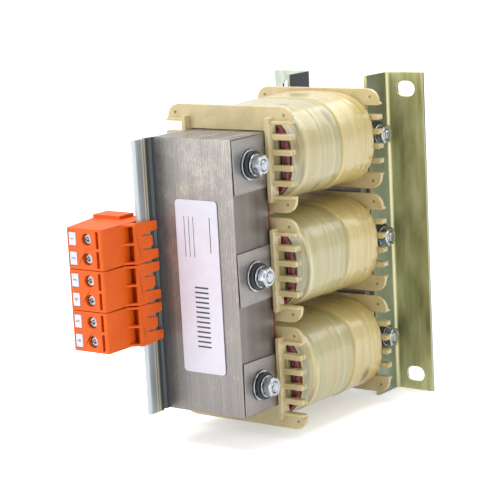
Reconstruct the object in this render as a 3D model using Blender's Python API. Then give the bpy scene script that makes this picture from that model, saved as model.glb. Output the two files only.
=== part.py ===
"""Three-phase line reactor on a laminated three-limb core.

The coil row stands along +Z. The front yoke, with the nameplate, faces -Y.
The mounting angles are at the back, +Y. The laminations are stacked along X.
The nuts are on the +X side and the terminal blocks hang off the -X side.
All lengths are in metres.
"""

import math

import bmesh
import bpy
from mathutils import Matrix, Vector

MM = 0.001

# Clearance between pieces that rest on each other
SEAT = 0.3 * MM

# Laminated core
LIMB_WIDTH = 30.0 * MM
WINDOW_WIDTH = 30.0 * MM
WINDOW_LENGTH = 90.0 * MM
YOKE_DEPTH = 30.0 * MM
STACK = 51.0 * MM
AIR_GAP = 1.5 * MM
LIMB_COUNT = 3

# Clamping bolts, M6
BOLT_DIAMETER = 6.0 * MM
BOLT_HOLE_CLEARANCE = 0.6 * MM
HEX_ACROSS_FLATS = 10.0 * MM
HEAD_HEIGHT = 4.0 * MM
NUT_HEIGHT = 4.3 * MM
THREAD_END = 0.8 * MM
THREAD_CHAMFER = 0.5 * MM
LARGE_WASHER_DIAMETER = 17.6 * MM
LARGE_WASHER_THICKNESS = 1.0 * MM
INSULATING_WASHER_DIAMETER = 15.0 * MM
INSULATING_WASHER_THICKNESS = 1.6 * MM
WASHER_DIAMETER = 12.0 * MM
WASHER_THICKNESS = 1.0 * MM
ROUND_SEGMENTS = 16
HEX_SEGMENTS = 12
HEX_CHAMFER_ANGLE = math.radians(30.0)

# Square pressure plates on the nut side of the front yoke
PLATE_SIDE = 29.0 * MM
PLATE_THICKNESS = 0.6 * MM
PLATE_TURNS = (1.0, 1.2, -1.1)

# Bobbins
BOBBIN_CLEARANCE = 0.3 * MM
TUBE_BULGE = 5.1 * MM
TUBE_TOP_WALL = 2.3 * MM
TUBE_SQUARENESS = 5.0
FLANGE_OVERHANG = 16.7 * MM
FLANGE_SPACING = 2.8 * MM
FLANGE_THICKNESS = 2.2 * MM
FLANGE_SETBACK = 1.7 * MM
FLANGE_CORNER_RADIUS = 7.5 * MM
COMB_PITCH = 8.3 * MM
COMB_SLOT = 5.3 * MM
COMB_SLOT_COUNT = 5
COMB_SLOT_SETBACK = 4.1 * MM
COMB_RISE = 2.3 * MM
COMB_END_RIB = 1.7 * MM
FINGER_TIP_RADIUS = 0.8 * MM
SIDE_BAR_RISE = 4.5 * MM
SIDE_BAR_GAP = 1.2 * MM
SIDE_BAR_OVERHANG = 2.0 * MM

# Windings and the foil wrapped round them
WINDING_END_BUILD = 10.9 * MM
WINDING_TOP_BUILD = 9.4 * MM
WINDING_CORNER = 11.5 * MM
WINDING_SQUARENESS = 2.5
WIRE_DIAMETER = 1.9 * MM
WIRE_LAYERS = 4
WRAP_THICKNESS = 0.5 * MM
WRAP_EDGE_STEP = 0.45 * MM
WRAP_SETBACK = 3.0 * MM
WRAP_EDGES = (0.1, 0.24, 0.42, 0.64)
WRAP_EDGE_RISES = (2, 1, 1, 1)
OUTLINE_SEGMENTS = 24

# Mounting angles
ANGLE_LENGTH = 189.0 * MM
ANGLE_THICKNESS = 2.0 * MM
ANGLE_LEG = 23.5 * MM
ANGLE_FLANGE = 26.2 * MM
ANGLE_BEND_RADIUS = 2.5 * MM
ANGLE_PROUD = 0.5 * MM
SLOT_LENGTH = 12.0 * MM
SLOT_WIDTH = 9.0 * MM
SLOT_END_MARGIN = 9.5 * MM
SLOT_INSET = 11.6 * MM

# Terminal rail, one folded sheet with a hem along its front edge
RAIL_THICKNESS = 1.5 * MM
RAIL_JOG = 1.2 * MM
RAIL_JOG_START = 2.2 * MM
RAIL_REACH = 17.0 * MM
RAIL_HEM = 11.4 * MM
RAIL_LEG_SETBACK = 3.0 * MM
RAIL_CORNER_CUT = 8.4 * MM

# Terminal blocks, two poles each
BLOCK_COUNT = 3
BLOCK_PITCH = 22.4 * MM
BLOCK_CENTRE_DROP = 1.8 * MM
BLOCK_GAP = 0.3 * MM
BLOCK_REACH = 27.0 * MM
BLOCK_FRONT_WIDTH = 24.3 * MM
BLOCK_REAR_WIDTH = 30.6 * MM
BLOCK_REAR_DEPTH = 13.0 * MM
BLOCK_REAR_SETBACK = 3.0 * MM
BLOCK_EDGE_RADIUS = 1.2 * MM
POLE_PITCH = 10.6 * MM
COMB_PLATE_THICKNESS = 1.6 * MM
COMB_PLATE_REACH = 6.2 * MM
COMB_NOTCH_DEPTH = 14.0 * MM
SHORT_FINGER_SETBACK = 4.2 * MM
LONG_FINGER_CENTRE = 7.7 * MM
LONG_FINGER_WIDTH = 4.6 * MM
SHORT_FINGER_WIDTH = 5.4 * MM
NOTCH_CENTRE = 3.8 * MM
HOOK_DEPTH = 1.2 * MM
HOOK_LENGTH = 1.0 * MM
GUSSET_THICKNESS = 1.2 * MM
GUSSET_FOOT = 4.0 * MM
POCKET_DEPTH = 2.2 * MM
POCKET_LENGTH = 2.5 * MM
WELL_DIAMETER = 6.6 * MM
WELL_OFFSET = 13.6 * MM
HEAD_RECESS = 1.4 * MM
CLAMP_HEAD_HEIGHT = 2.0 * MM
CLAMP_SHANK_DIAMETER = 3.6 * MM
CLAMP_SHANK_LENGTH = 6.0 * MM
CLAMP_DRIVE_WIDTH = 0.9 * MM
CLAMP_DRIVE_DEPTH = 0.8 * MM
WIRE_ENTRY_DIAMETER = 6.4 * MM
WIRE_ENTRY_SETBACK = 15.0 * MM
PROBE_SLIT_WIDTH = 1.8 * MM
PROBE_SLIT_HEIGHT = 8.9 * MM
PROBE_SLIT_DEPTH = 5.0 * MM
PROBE_SLIT_OFFSET = 21.0 * MM
TAG_WIDTH = 4.7 * MM
TAG_HEIGHT = 7.2 * MM
TAG_SKIN = 1.0 * MM
TAG_DEPTH = 1.8 * MM
TAG_OFFSET = 3.9 * MM
LUG_HEIGHT = 1.9 * MM
LUG_WIDTH = 19.0 * MM
LUG_DEPTH = 12.2 * MM
LUG_MARGIN = 0.4 * MM

# Nameplate on the front yoke
LABEL_WIDTH = 28.0 * MM
LABEL_HEIGHT = 94.6 * MM
LABEL_THICKNESS = 0.5 * MM
LABEL_CORNER_RADIUS = 2.2 * MM
LABEL_CENTRE_X = 0.7 * MM
LABEL_CENTRE_DROP = 5.2 * MM

# Places worked out from the sizes above
LIMB_PITCH = LIMB_WIDTH + WINDOW_WIDTH
CORE_LENGTH = LIMB_COUNT * LIMB_WIDTH + (LIMB_COUNT - 1) * WINDOW_WIDTH
HALF_STACK = STACK / 2
LIMB_FRONT = YOKE_DEPTH + AIR_GAP
BACK_YOKE_FRONT = LIMB_FRONT + WINDOW_LENGTH
CORE_BACK = BACK_YOKE_FRONT + YOKE_DEPTH
MID_WINDOW = (LIMB_FRONT + BACK_YOKE_FRONT) / 2
FRONT_BOLT_Y = YOKE_DEPTH / 2
BACK_BOLT_Y = BACK_YOKE_FRONT + YOKE_DEPTH / 2
BOLT_HOLE_RADIUS = (BOLT_DIAMETER + BOLT_HOLE_CLEARANCE) / 2
FLANGE_HALF_WIDTH = HALF_STACK + FLANGE_OVERHANG
FLANGE_HALF_HEIGHT = (LIMB_PITCH - FLANGE_SPACING) / 2
TUBE_HALF_WIDTH = HALF_STACK + TUBE_BULGE
TUBE_HALF_HEIGHT = LIMB_WIDTH / 2 + BOBBIN_CLEARANCE + TUBE_TOP_WALL
WINDING_STRAIGHT = HALF_STACK - WINDING_CORNER
WINDING_HALF_WIDTH = HALF_STACK + WINDING_END_BUILD
WINDING_HALF_HEIGHT = LIMB_WIDTH / 2 + WINDING_TOP_BUILD
COMB_SLOT_START = HALF_STACK + COMB_SLOT_SETBACK
ANGLE_BACK = CORE_BACK + ANGLE_PROUD
ANGLE_INNER = HALF_STACK + SEAT
ANGLE_OUTER = ANGLE_INNER + ANGLE_FLANGE
ANGLE_BOTTOM = (CORE_LENGTH - ANGLE_LENGTH) / 2
SLOT_SPACING = ANGLE_LENGTH - 2 * SLOT_END_MARGIN
RAIL_SEAT = HALF_STACK + SEAT
RAIL_INNER = RAIL_SEAT + RAIL_JOG
RAIL_OUTER = RAIL_INNER + RAIL_THICKNESS
RAIL_LEG = YOKE_DEPTH - RAIL_LEG_SETBACK
HEM_SLIT = SEAT
HEM_FACE = RAIL_INNER - HEM_SLIT - RAIL_THICKNESS
HEM_END = RAIL_REACH - RAIL_HEM
BLOCK_SIDE = RAIL_OUTER + SEAT
BLOCK_LEFT = BLOCK_SIDE + BLOCK_REAR_WIDTH
COMB_PLATE_LEFT = HEM_FACE - SEAT
COMB_PLATE_RIGHT = COMB_PLATE_LEFT - COMB_PLATE_THICKNESS
BLOCK_HEIGHT = BLOCK_PITCH - BLOCK_GAP
BLOCK_FRONT = RAIL_REACH + BLOCK_REACH
COMB_PLATE_FRONT = RAIL_REACH + COMB_PLATE_REACH
GUSSET_REAR = RAIL_REACH + COMB_PLATE_REACH / 3
LONG_FINGER_TIP = HEM_END - HOOK_LENGTH
SHORT_FINGER_TIP = LONG_FINGER_TIP + SHORT_FINGER_SETBACK
COMB_NOTCH_ROOT = LONG_FINGER_TIP + COMB_NOTCH_DEPTH

# The origin is under the middle of the whole part, level with the angles' feet
ORIGIN = Vector((
    (ANGLE_OUTER - BLOCK_LEFT) / 2,
    (ANGLE_BACK - BLOCK_FRONT) / 2,
    ANGLE_BOTTOM,
))

AXES = {"X": (1, 2, 0), "Y": (0, 2, 1), "Z": (0, 1, 2)}


def limb_height(index):
    """Height of a limb's centre line, counted from the top."""
    return CORE_LENGTH - LIMB_WIDTH / 2 - index * LIMB_PITCH


def material(name, colour, roughness, metallic=0.0, transmission=0.0):
    """Principled material with one plain colour."""
    result = bpy.data.materials.new(name)
    result.use_nodes = True
    shader = result.node_tree.nodes["Principled BSDF"]
    shader.inputs["Base Color"].default_value = (*colour, 1.0)
    shader.inputs["Roughness"].default_value = roughness
    shader.inputs["Metallic"].default_value = metallic
    shader.inputs["Transmission Weight"].default_value = transmission
    result.diffuse_color = (*colour, 1.0)
    return result


def arc(centre, radius, start, end, segments):
    """Points along an arc, with both ends, angles in radians."""
    points = []
    for step in range(segments + 1):
        angle = start + (end - start) * step / segments
        points.append((centre[0] + radius * math.cos(angle), centre[1] + radius * math.sin(angle)))
    return points


def rounded_outline(corners, segments=4):
    """Closed outline through (u, v, radius) corners, each rounded by its radius."""
    points = []
    count = len(corners)
    for index, (u, v, radius) in enumerate(corners):
        corner = Vector((u, v))
        if radius <= 0:
            points.append((u, v))
            continue
        before = Vector(corners[index - 1][:2]) - corner
        after = Vector(corners[(index + 1) % count][:2]) - corner
        opening = before.angle(after)
        reach = radius / math.tan(opening / 2)
        start = corner + before.normalized() * reach
        end = corner + after.normalized() * reach
        middle = (before.normalized() + after.normalized()).normalized()
        centre = corner + middle * radius / math.sin(opening / 2)
        first = start - centre
        sweep = first.angle_signed(end - centre)
        for step in range(segments + 1):
            turned = first.copy()
            turned.rotate(Matrix.Rotation(-sweep * step / segments, 2))
            points.append(tuple(centre + turned))
    return points


def rounded_rectangle(half_u, half_v, radius, centre=(0.0, 0.0), segments=4):
    """Outline of a rectangle with equal rounded corners."""
    u, v = centre
    corners = (
        (u - half_u, v - half_v, radius),
        (u + half_u, v - half_v, radius),
        (u + half_u, v + half_v, radius),
        (u - half_u, v + half_v, radius),
    )
    return rounded_outline(corners, segments)


def prism(mesh, outline, axis, start, end):
    """Add an outline extruded along an axis, from start to end."""
    u_axis, v_axis, depth_axis = AXES[axis]
    verts = []
    for u, v in outline:
        place = Vector((0.0, 0.0, 0.0))
        place[u_axis] = u
        place[v_axis] = v
        place[depth_axis] = start
        verts.append(mesh.verts.new(place))
    face = mesh.faces.new(verts)
    extruded = bmesh.ops.extrude_face_region(mesh, geom=[face])
    moved = [item for item in extruded["geom"] if isinstance(item, bmesh.types.BMVert)]
    step = Vector((0.0, 0.0, 0.0))
    step[depth_axis] = end - start
    bmesh.ops.translate(mesh, verts=moved, vec=step)


def box(mesh, x_range, y_range, z_range):
    """Add a plain block between three pairs of limits."""
    outline = [
        (x_range[0], y_range[0]),
        (x_range[1], y_range[0]),
        (x_range[1], y_range[1]),
        (x_range[0], y_range[1]),
    ]
    prism(mesh, outline, "Z", z_range[0], z_range[1])


def circle(radius, segments, centre=(0.0, 0.0)):
    """Outline of a circle."""
    return arc(centre, radius, 0.0, 2 * math.pi, segments)[:-1]


def join_loops(mesh, loops, closed_profile):
    """Skin closed loops of equal length one after another, and cap or close the ends."""
    rings = [[mesh.verts.new(point) for point in loop] for loop in loops]
    pairs = list(zip(rings, rings[1:]))
    if closed_profile:
        pairs.append((rings[-1], rings[0]))
    for first, second in pairs:
        count = len(first)
        for index in range(count):
            after = (index + 1) % count
            mesh.faces.new((first[index], first[after], second[after], second[index]))
    if not closed_profile:
        mesh.faces.new(rings[0][::-1])
        mesh.faces.new(rings[-1])


def turned_loops(profile, segments):
    """Loops round the X axis from (x, radius) points."""
    loops = []
    for x, radius in profile:
        loops.append([
            (x, radius * math.cos(2 * math.pi * step / segments), radius * math.sin(2 * math.pi * step / segments))
            for step in range(segments)
        ])
    return loops


def hexagon_radius(angle):
    """Distance from the centre to a hexagon's edge in a direction."""
    sector = math.pi / 3
    folded = (angle + sector / 2) % sector - sector / 2
    return HEX_ACROSS_FLATS / 2 / math.cos(folded)


def hexagon_loop(x, chamfer):
    """Loop on a hexagon, drawn in along X where a conical chamfer cuts its corners."""
    loop = []
    for step in range(HEX_SEGMENTS):
        angle = 2 * math.pi * step / HEX_SEGMENTS
        radius = hexagon_radius(angle)
        drop = (radius - HEX_ACROSS_FLATS / 2) * math.tan(HEX_CHAMFER_ANGLE)
        loop.append((x + chamfer * drop, radius * math.cos(angle), radius * math.sin(angle)))
    return loop


def finish(name, mesh, finish_material, smooth_angle=None):
    """Turn a bmesh into a named object under the part's root."""
    bmesh.ops.recalc_face_normals(mesh, faces=mesh.faces)
    data = bpy.data.meshes.new(name)
    mesh.to_mesh(data)
    mesh.free()
    data.materials.append(finish_material)
    if smooth_angle is not None:
        data.shade_smooth()
        data.set_sharp_from_angle(angle=math.radians(smooth_angle))
    return place_object(name, data)


def place_object(name, data, location=(0.0, 0.0, 0.0)):
    """Link an object for some mesh data and hang it on the root."""
    result = bpy.data.objects.new(name, data)
    bpy.context.scene.collection.objects.link(result)
    result.parent = bpy.data.objects["line_reactor"]
    result.location = location
    return result


def cutter(name, mesh):
    """Hidden helper body for a Boolean modifier."""
    bmesh.ops.recalc_face_normals(mesh, faces=mesh.faces)
    data = bpy.data.meshes.new(name)
    mesh.to_mesh(data)
    mesh.free()
    result = place_object(name, data)
    result.hide_render = True
    result.display_type = "WIRE"
    return result


def boolean(target, tool, operation):
    """Add an exact Boolean modifier."""
    modifier = target.modifiers.new(tool.name, "BOOLEAN")
    modifier.operation = operation
    modifier.object = tool
    modifier.solver = "EXACT"


def bolt_hole_cutter(name, y, x_range):
    """Three bores through the stack, one at each limb's height."""
    mesh = bmesh.new()
    for index in range(LIMB_COUNT):
        outline = circle(BOLT_HOLE_RADIUS, ROUND_SEGMENTS, (y, limb_height(index)))
        prism(mesh, outline, "X", x_range[0], x_range[1])
    return cutter(name, mesh)


def make_core(steel, insulation, front_holes, back_holes):
    """Front yoke, E-shaped stack and the strip that sets the air gap."""
    mesh = bmesh.new()
    box(mesh, (-HALF_STACK, HALF_STACK), (0.0, YOKE_DEPTH), (0.0, CORE_LENGTH))
    front_yoke = finish("front_yoke", mesh, steel)
    boolean(front_yoke, front_holes, "DIFFERENCE")

    outline = [(CORE_BACK, 0.0), (CORE_BACK, CORE_LENGTH)]
    for index in range(LIMB_COUNT):
        top = limb_height(index) + LIMB_WIDTH / 2
        bottom = top - LIMB_WIDTH
        if index > 0:
            outline.append((BACK_YOKE_FRONT, top))
        outline.append((LIMB_FRONT, top))
        outline.append((LIMB_FRONT, bottom))
        if index < LIMB_COUNT - 1:
            outline.append((BACK_YOKE_FRONT, bottom))
    mesh = bmesh.new()
    prism(mesh, outline, "X", -HALF_STACK, HALF_STACK)
    e_stack = finish("e_core_stack", mesh, steel)
    boolean(e_stack, back_holes, "DIFFERENCE")

    mesh = bmesh.new()
    strip_y = (YOKE_DEPTH + SEAT, LIMB_FRONT - SEAT)
    box(mesh, (-HALF_STACK, HALF_STACK), strip_y, (0.0, CORE_LENGTH))
    finish("air_gap_strip", mesh, insulation)


def flange_panels():
    """The two flat flange panels of a bobbin, about its own centre."""
    mesh = bmesh.new()
    outer = WINDOW_LENGTH / 2 - FLANGE_SETBACK
    outline = rounded_rectangle(FLANGE_HALF_WIDTH, FLANGE_HALF_HEIGHT, FLANGE_CORNER_RADIUS)
    for side in (-1, 1):
        prism(mesh, outline, "Y", side * (outer - FLANGE_THICKNESS), side * outer)
    return mesh


def comb_frames():
    """Raised frames on both ends of each flange, from which the comb slots are cut."""
    mesh = bmesh.new()
    outer = WINDOW_LENGTH / 2 - FLANGE_SETBACK
    half_height = (COMB_SLOT_COUNT - 1) / 2 * COMB_PITCH + COMB_SLOT / 2 + COMB_END_RIB
    inner_u = HALF_STACK + 2 * SIDE_BAR_GAP
    outer_u = FLANGE_HALF_WIDTH - SEAT
    centre_u = (inner_u + outer_u) / 2
    half_u = (outer_u - inner_u) / 2
    for side in (-1, 1):
        for end in (-1, 1):
            outline = rounded_rectangle(half_u, half_height, FINGER_TIP_RADIUS, (end * centre_u, 0.0), 1)
            prism(mesh, outline, "Y", side * (outer - FLANGE_THICKNESS / 2), side * (outer + COMB_RISE))
    return mesh


def side_bars():
    """Upright bars on both flanges that embrace the yokes."""
    mesh = bmesh.new()
    outer = WINDOW_LENGTH / 2 - FLANGE_SETBACK
    half_height = (COMB_SLOT_COUNT - 1) / 2 * COMB_PITCH + COMB_SLOT / 2 + COMB_END_RIB + SIDE_BAR_OVERHANG
    inner_u = HALF_STACK + SIDE_BAR_GAP
    outer_u = COMB_SLOT_START - SEAT
    radius = (outer_u - inner_u) / 2 * 0.9
    centre_u = (inner_u + outer_u) / 2
    half_u = (outer_u - inner_u) / 2
    for side in (-1, 1):
        for end in (-1, 1):
            outline = rounded_rectangle(half_u, half_height, radius, (end * centre_u, 0.0), 2)
            prism(mesh, outline, "Y", side * (outer - FLANGE_THICKNESS / 3), side * (outer + SIDE_BAR_RISE))
    return mesh


def comb_slots():
    """Open-ended slots with flared mouths, which leave round-ended fingers."""
    mesh = bmesh.new()
    reach = WINDOW_LENGTH / 2 + SIDE_BAR_RISE
    half_slot = COMB_SLOT / 2
    tip = FINGER_TIP_RADIUS
    mouth = FLANGE_HALF_WIDTH
    beyond = mouth + COMB_SLOT
    for end in (-1, 1):
        for index in range(COMB_SLOT_COUNT):
            height = (index - (COMB_SLOT_COUNT - 1) / 2) * COMB_PITCH
            upper = arc((mouth - tip, half_slot + tip), tip, -math.pi / 2, 0.0, 1)
            half = [(COMB_SLOT_START, half_slot)] + upper + [(beyond, half_slot + tip)]
            outline = [(end * u, height + v) for u, v in half]
            outline += [(end * u, height - v) for u, v in reversed(half)]
            prism(mesh, outline, "Y", -reach, reach)
    return mesh


def make_bobbins(plastic):
    """Three moulded bobbins, one on each limb."""
    half_width = HALF_STACK + BOBBIN_CLEARANCE
    half_height = LIMB_WIDTH / 2 + BOBBIN_CLEARANCE
    inside = WINDOW_LENGTH / 2 - FLANGE_SETBACK - FLANGE_THICKNESS / 2
    through = WINDOW_LENGTH / 2 + SIDE_BAR_RISE
    opening = bmesh.new()
    box(opening, (-half_width, half_width), (-through, through), (-half_height, half_height))
    tube = bmesh.new()
    join_loops(tube, [tube_outline(-inside, 0.0), tube_outline(inside, 0.0)], False)
    first = finish("bobbin_1", flange_panels(), plastic, 30.0)
    tools = (
        (cutter("bobbin_frames", comb_frames()), "UNION"),
        (cutter("bobbin_bars", side_bars()), "UNION"),
        (cutter("bobbin_slots", comb_slots()), "DIFFERENCE"),
        (cutter("bobbin_tube", tube), "UNION"),
        (cutter("bobbin_opening", opening), "DIFFERENCE"),
    )
    for index in range(LIMB_COUNT):
        bobbin = first if index == 0 else place_object(f"bobbin_{index + 1}", first.data)
        place = (0.0, MID_WINDOW, limb_height(index))
        bobbin.location = place
        for tool, operation in tools:
            own = tool
            if index > 0:
                own = cutter_copy(tool, f"{tool.name}_{index + 1}")
            own.location = place
            boolean(bobbin, own, operation)


def cutter_copy(tool, name):
    """Another hidden helper that shares a helper's mesh."""
    result = place_object(name, tool.data)
    result.hide_render = True
    result.display_type = "WIRE"
    return result


def bulged_outline(y, half_width, half_height, squareness):
    """Loop round a limb: straight top and bottom, and bulging ends."""
    half_u = half_width - WINDING_STRAIGHT
    power = 2 / squareness
    loop = []
    for step in range(OUTLINE_SEGMENTS):
        angle = 2 * math.pi * (step + 0.5) / OUTLINE_SEGMENTS
        cosine = math.cos(angle)
        sine = math.sin(angle)
        u = math.copysign(half_u * abs(cosine) ** power + WINDING_STRAIGHT, cosine)
        v = math.copysign(half_height * abs(sine) ** power, sine)
        loop.append((u, y, v))
    return loop


def coil_outline(y, offset):
    """Loop of a coil's outside."""
    half_width = WINDING_HALF_WIDTH + offset
    return bulged_outline(y, half_width, WINDING_HALF_HEIGHT + offset, WINDING_SQUARENESS)


def tube_outline(y, offset):
    """Loop of the outside of a bobbin's tube."""
    return bulged_outline(y, TUBE_HALF_WIDTH + offset, TUBE_HALF_HEIGHT + offset, TUBE_SQUARENESS)


def layer_outline(y, share):
    """Loop part of the way from the bobbin's tube to a coil's outside."""
    loop = []
    for inner, outer in zip(tube_outline(y, SEAT), coil_outline(y, 0.0)):
        loop.append(tuple(Vector(inner).lerp(Vector(outer), share)))
    return loop


def make_windings(copper, foil):
    """Enamelled wire on each bobbin and the foil wrapped round it."""
    end = WINDOW_LENGTH / 2 - FLANGE_SETBACK - FLANGE_THICKNESS - SEAT
    edge = end - WIRE_DIAMETER / 2
    loops = []
    for layer in range(WIRE_LAYERS):
        loops.append(layer_outline(-edge, layer / WIRE_LAYERS))
        loops.append(layer_outline(-end, (layer + 0.5) / WIRE_LAYERS))
    loops.append(layer_outline(-edge, 1.0))
    loops.append(layer_outline(edge, 1.0))
    loops.append(layer_outline(end, 1.0 - 0.5 / WIRE_LAYERS))
    loops.append(layer_outline(end, 0.0))
    mesh = bmesh.new()
    join_loops(mesh, loops, True)
    winding = finish("winding_1", mesh, copper, 50.0)

    front = -end + WRAP_SETBACK
    length = end - front
    offset = SEAT + WRAP_THICKNESS
    loops = [coil_outline(end, SEAT), coil_outline(front, SEAT), coil_outline(front, offset)]
    for place, rise in zip(WRAP_EDGES, WRAP_EDGE_RISES):
        y = front + place * length
        loops.append(coil_outline(y, offset))
        offset += rise * WRAP_EDGE_STEP
        loops.append(coil_outline(y + WRAP_EDGE_STEP / 2, offset))
    loops.append(coil_outline(end, offset))
    mesh = bmesh.new()
    join_loops(mesh, loops, True)
    wrap = finish("coil_wrap_1", mesh, foil, 30.0)

    for index in range(LIMB_COUNT):
        place = (0.0, MID_WINDOW, limb_height(index))
        if index > 0:
            winding = place_object(f"winding_{index + 1}", winding.data)
            wrap = place_object(f"coil_wrap_{index + 1}", wrap.data)
        winding.location = place
        wrap.location = place


def washer(name, finish_material, diameter, thickness):
    """Flat ring on the X axis, starting at zero."""
    mesh = bmesh.new()
    inner = BOLT_HOLE_RADIUS
    profile = ((0.0, inner), (0.0, diameter / 2), (thickness, diameter / 2), (thickness, inner))
    join_loops(mesh, turned_loops(profile, ROUND_SEGMENTS), True)
    return finish(name, mesh, finish_material, 40.0)


def hex_nut(name, zinc):
    """Hexagon nut with its chamfered face towards +X."""
    mesh = bmesh.new()
    bore = turned_loops(((0.0, BOLT_HOLE_RADIUS), (NUT_HEIGHT, BOLT_HOLE_RADIUS)), HEX_SEGMENTS)
    rim = turned_loops(((NUT_HEIGHT, HEX_ACROSS_FLATS / 2),), HEX_SEGMENTS)
    loops = bore + rim + [hexagon_loop(NUT_HEIGHT, -1), hexagon_loop(0.0, 0)]
    join_loops(mesh, loops, True)
    return finish(name, mesh, zinc, 20.0)


def hex_bolt(name, zinc, grip):
    """Hexagon bolt along +X whose head rests on the plane at zero."""
    mesh = bmesh.new()
    radius = BOLT_DIAMETER / 2
    tip = grip + NUT_HEIGHT + THREAD_END
    rim = turned_loops(((-HEAD_HEIGHT, HEX_ACROSS_FLATS / 2),), HEX_SEGMENTS)
    head = [hexagon_loop(-HEAD_HEIGHT, 1), hexagon_loop(0.0, 0)]
    profile = ((0.0, radius), (tip - THREAD_CHAMFER, radius), (tip, radius - THREAD_CHAMFER))
    join_loops(mesh, rim + head + turned_loops(profile, HEX_SEGMENTS), False)
    return finish(name, mesh, zinc, 20.0)


def make_bolt_rows(zinc, black_plastic):
    """Clamping bolts through both yokes with their nuts and washers."""
    plate_face = HALF_STACK + SEAT + PLATE_THICKNESS
    rows = (
        ("front", FRONT_BOLT_Y, -RAIL_SEAT - RAIL_THICKNESS - SEAT, plate_face, True),
        ("back", BACK_BOLT_Y, -ANGLE_INNER - ANGLE_THICKNESS - SEAT, ANGLE_INNER + ANGLE_THICKNESS, False),
    )
    for row, y, head_x, face_x, has_large_washer in rows:
        stack = []
        if has_large_washer:
            stack.append(("large_washer", zinc, LARGE_WASHER_DIAMETER, LARGE_WASHER_THICKNESS))
        black = (INSULATING_WASHER_DIAMETER, INSULATING_WASHER_THICKNESS)
        stack.append(("insulating_washer", black_plastic, *black))
        stack.append(("washer", zinc, WASHER_DIAMETER, WASHER_THICKNESS))
        x = face_x + SEAT
        pieces = []
        for kind, finish_material, diameter, thickness in stack:
            pieces.append((washer(f"{row}_{kind}_1", finish_material, diameter, thickness), x))
            x += thickness + SEAT
        pieces.append((hex_nut(f"{row}_nut_1", zinc), x))
        pieces.append((hex_bolt(f"{row}_bolt_1", zinc, x - head_x), head_x))
        for piece, piece_x in pieces:
            stem = piece.name[:-1]
            for index in range(LIMB_COUNT):
                place = (piece_x, y, limb_height(index))
                if index == 0:
                    piece.location = place
                else:
                    place_object(f"{stem}{index + 1}", piece.data, place)


def make_pressure_plates(bare_steel):
    """Three loose square plates under the front nuts, each sitting a little askew."""
    outline = rounded_rectangle(PLATE_SIDE / 2, PLATE_SIDE / 2, 0.0)
    for index, turn in enumerate(PLATE_TURNS):
        mesh = bmesh.new()
        prism(mesh, outline, "X", 0.0, PLATE_THICKNESS)
        plate = finish(f"pressure_plate_{index + 1}", mesh, bare_steel)
        hole = bmesh.new()
        through = (-PLATE_THICKNESS, 2 * PLATE_THICKNESS)
        prism(hole, circle(BOLT_HOLE_RADIUS, ROUND_SEGMENTS), "X", through[0], through[1])
        tool = cutter(f"plate_hole_{index + 1}", hole)
        place = (HALF_STACK + SEAT, FRONT_BOLT_Y, limb_height(index))
        plate.location = place
        plate.rotation_euler = (math.radians(turn), 0.0, 0.0)
        tool.location = place
        boolean(plate, tool, "DIFFERENCE")


def make_mounting_angles(chromated_steel, back_holes):
    """The two L-shaped mounting angles that clamp the back yoke."""
    for side, name in ((1, "right_mounting_angle"), (-1, "left_mounting_angle")):
        front = ANGLE_BACK - ANGLE_LEG
        inner = ANGLE_INNER
        outer_face = inner + ANGLE_THICKNESS
        corners = (
            (inner, front, 0.0),
            (outer_face, front, 0.0),
            (outer_face, ANGLE_BACK - ANGLE_THICKNESS, ANGLE_BEND_RADIUS),
            (ANGLE_OUTER, ANGLE_BACK - ANGLE_THICKNESS, 0.0),
            (ANGLE_OUTER, ANGLE_BACK, 0.0),
            (inner, ANGLE_BACK, ANGLE_BEND_RADIUS + ANGLE_THICKNESS),
        )
        outline = [(side * x, y) for x, y in rounded_outline(corners, 5)]
        mesh = bmesh.new()
        prism(mesh, outline, "Z", ANGLE_BOTTOM, ANGLE_BOTTOM + ANGLE_LENGTH)
        angle = finish(name, mesh, chromated_steel, 30.0)
        boolean(angle, back_holes, "DIFFERENCE")
        slots = bmesh.new()
        straight = (SLOT_LENGTH - SLOT_WIDTH) / 2
        for height in (-SLOT_SPACING / 2, SLOT_SPACING / 2):
            centre = (side * (ANGLE_OUTER - SLOT_INSET), CORE_LENGTH / 2 + height)
            right = arc((centre[0] + straight, centre[1]), SLOT_WIDTH / 2, -math.pi / 2, math.pi / 2, 10)
            left = arc((centre[0] - straight, centre[1]), SLOT_WIDTH / 2, math.pi / 2, 1.5 * math.pi, 10)
            through = (ANGLE_BACK - 2 * ANGLE_THICKNESS, ANGLE_BACK + ANGLE_THICKNESS)
            prism(slots, right + left, "Y", through[0], through[1])
        boolean(angle, cutter(f"{name}_slots", slots), "DIFFERENCE")


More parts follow.
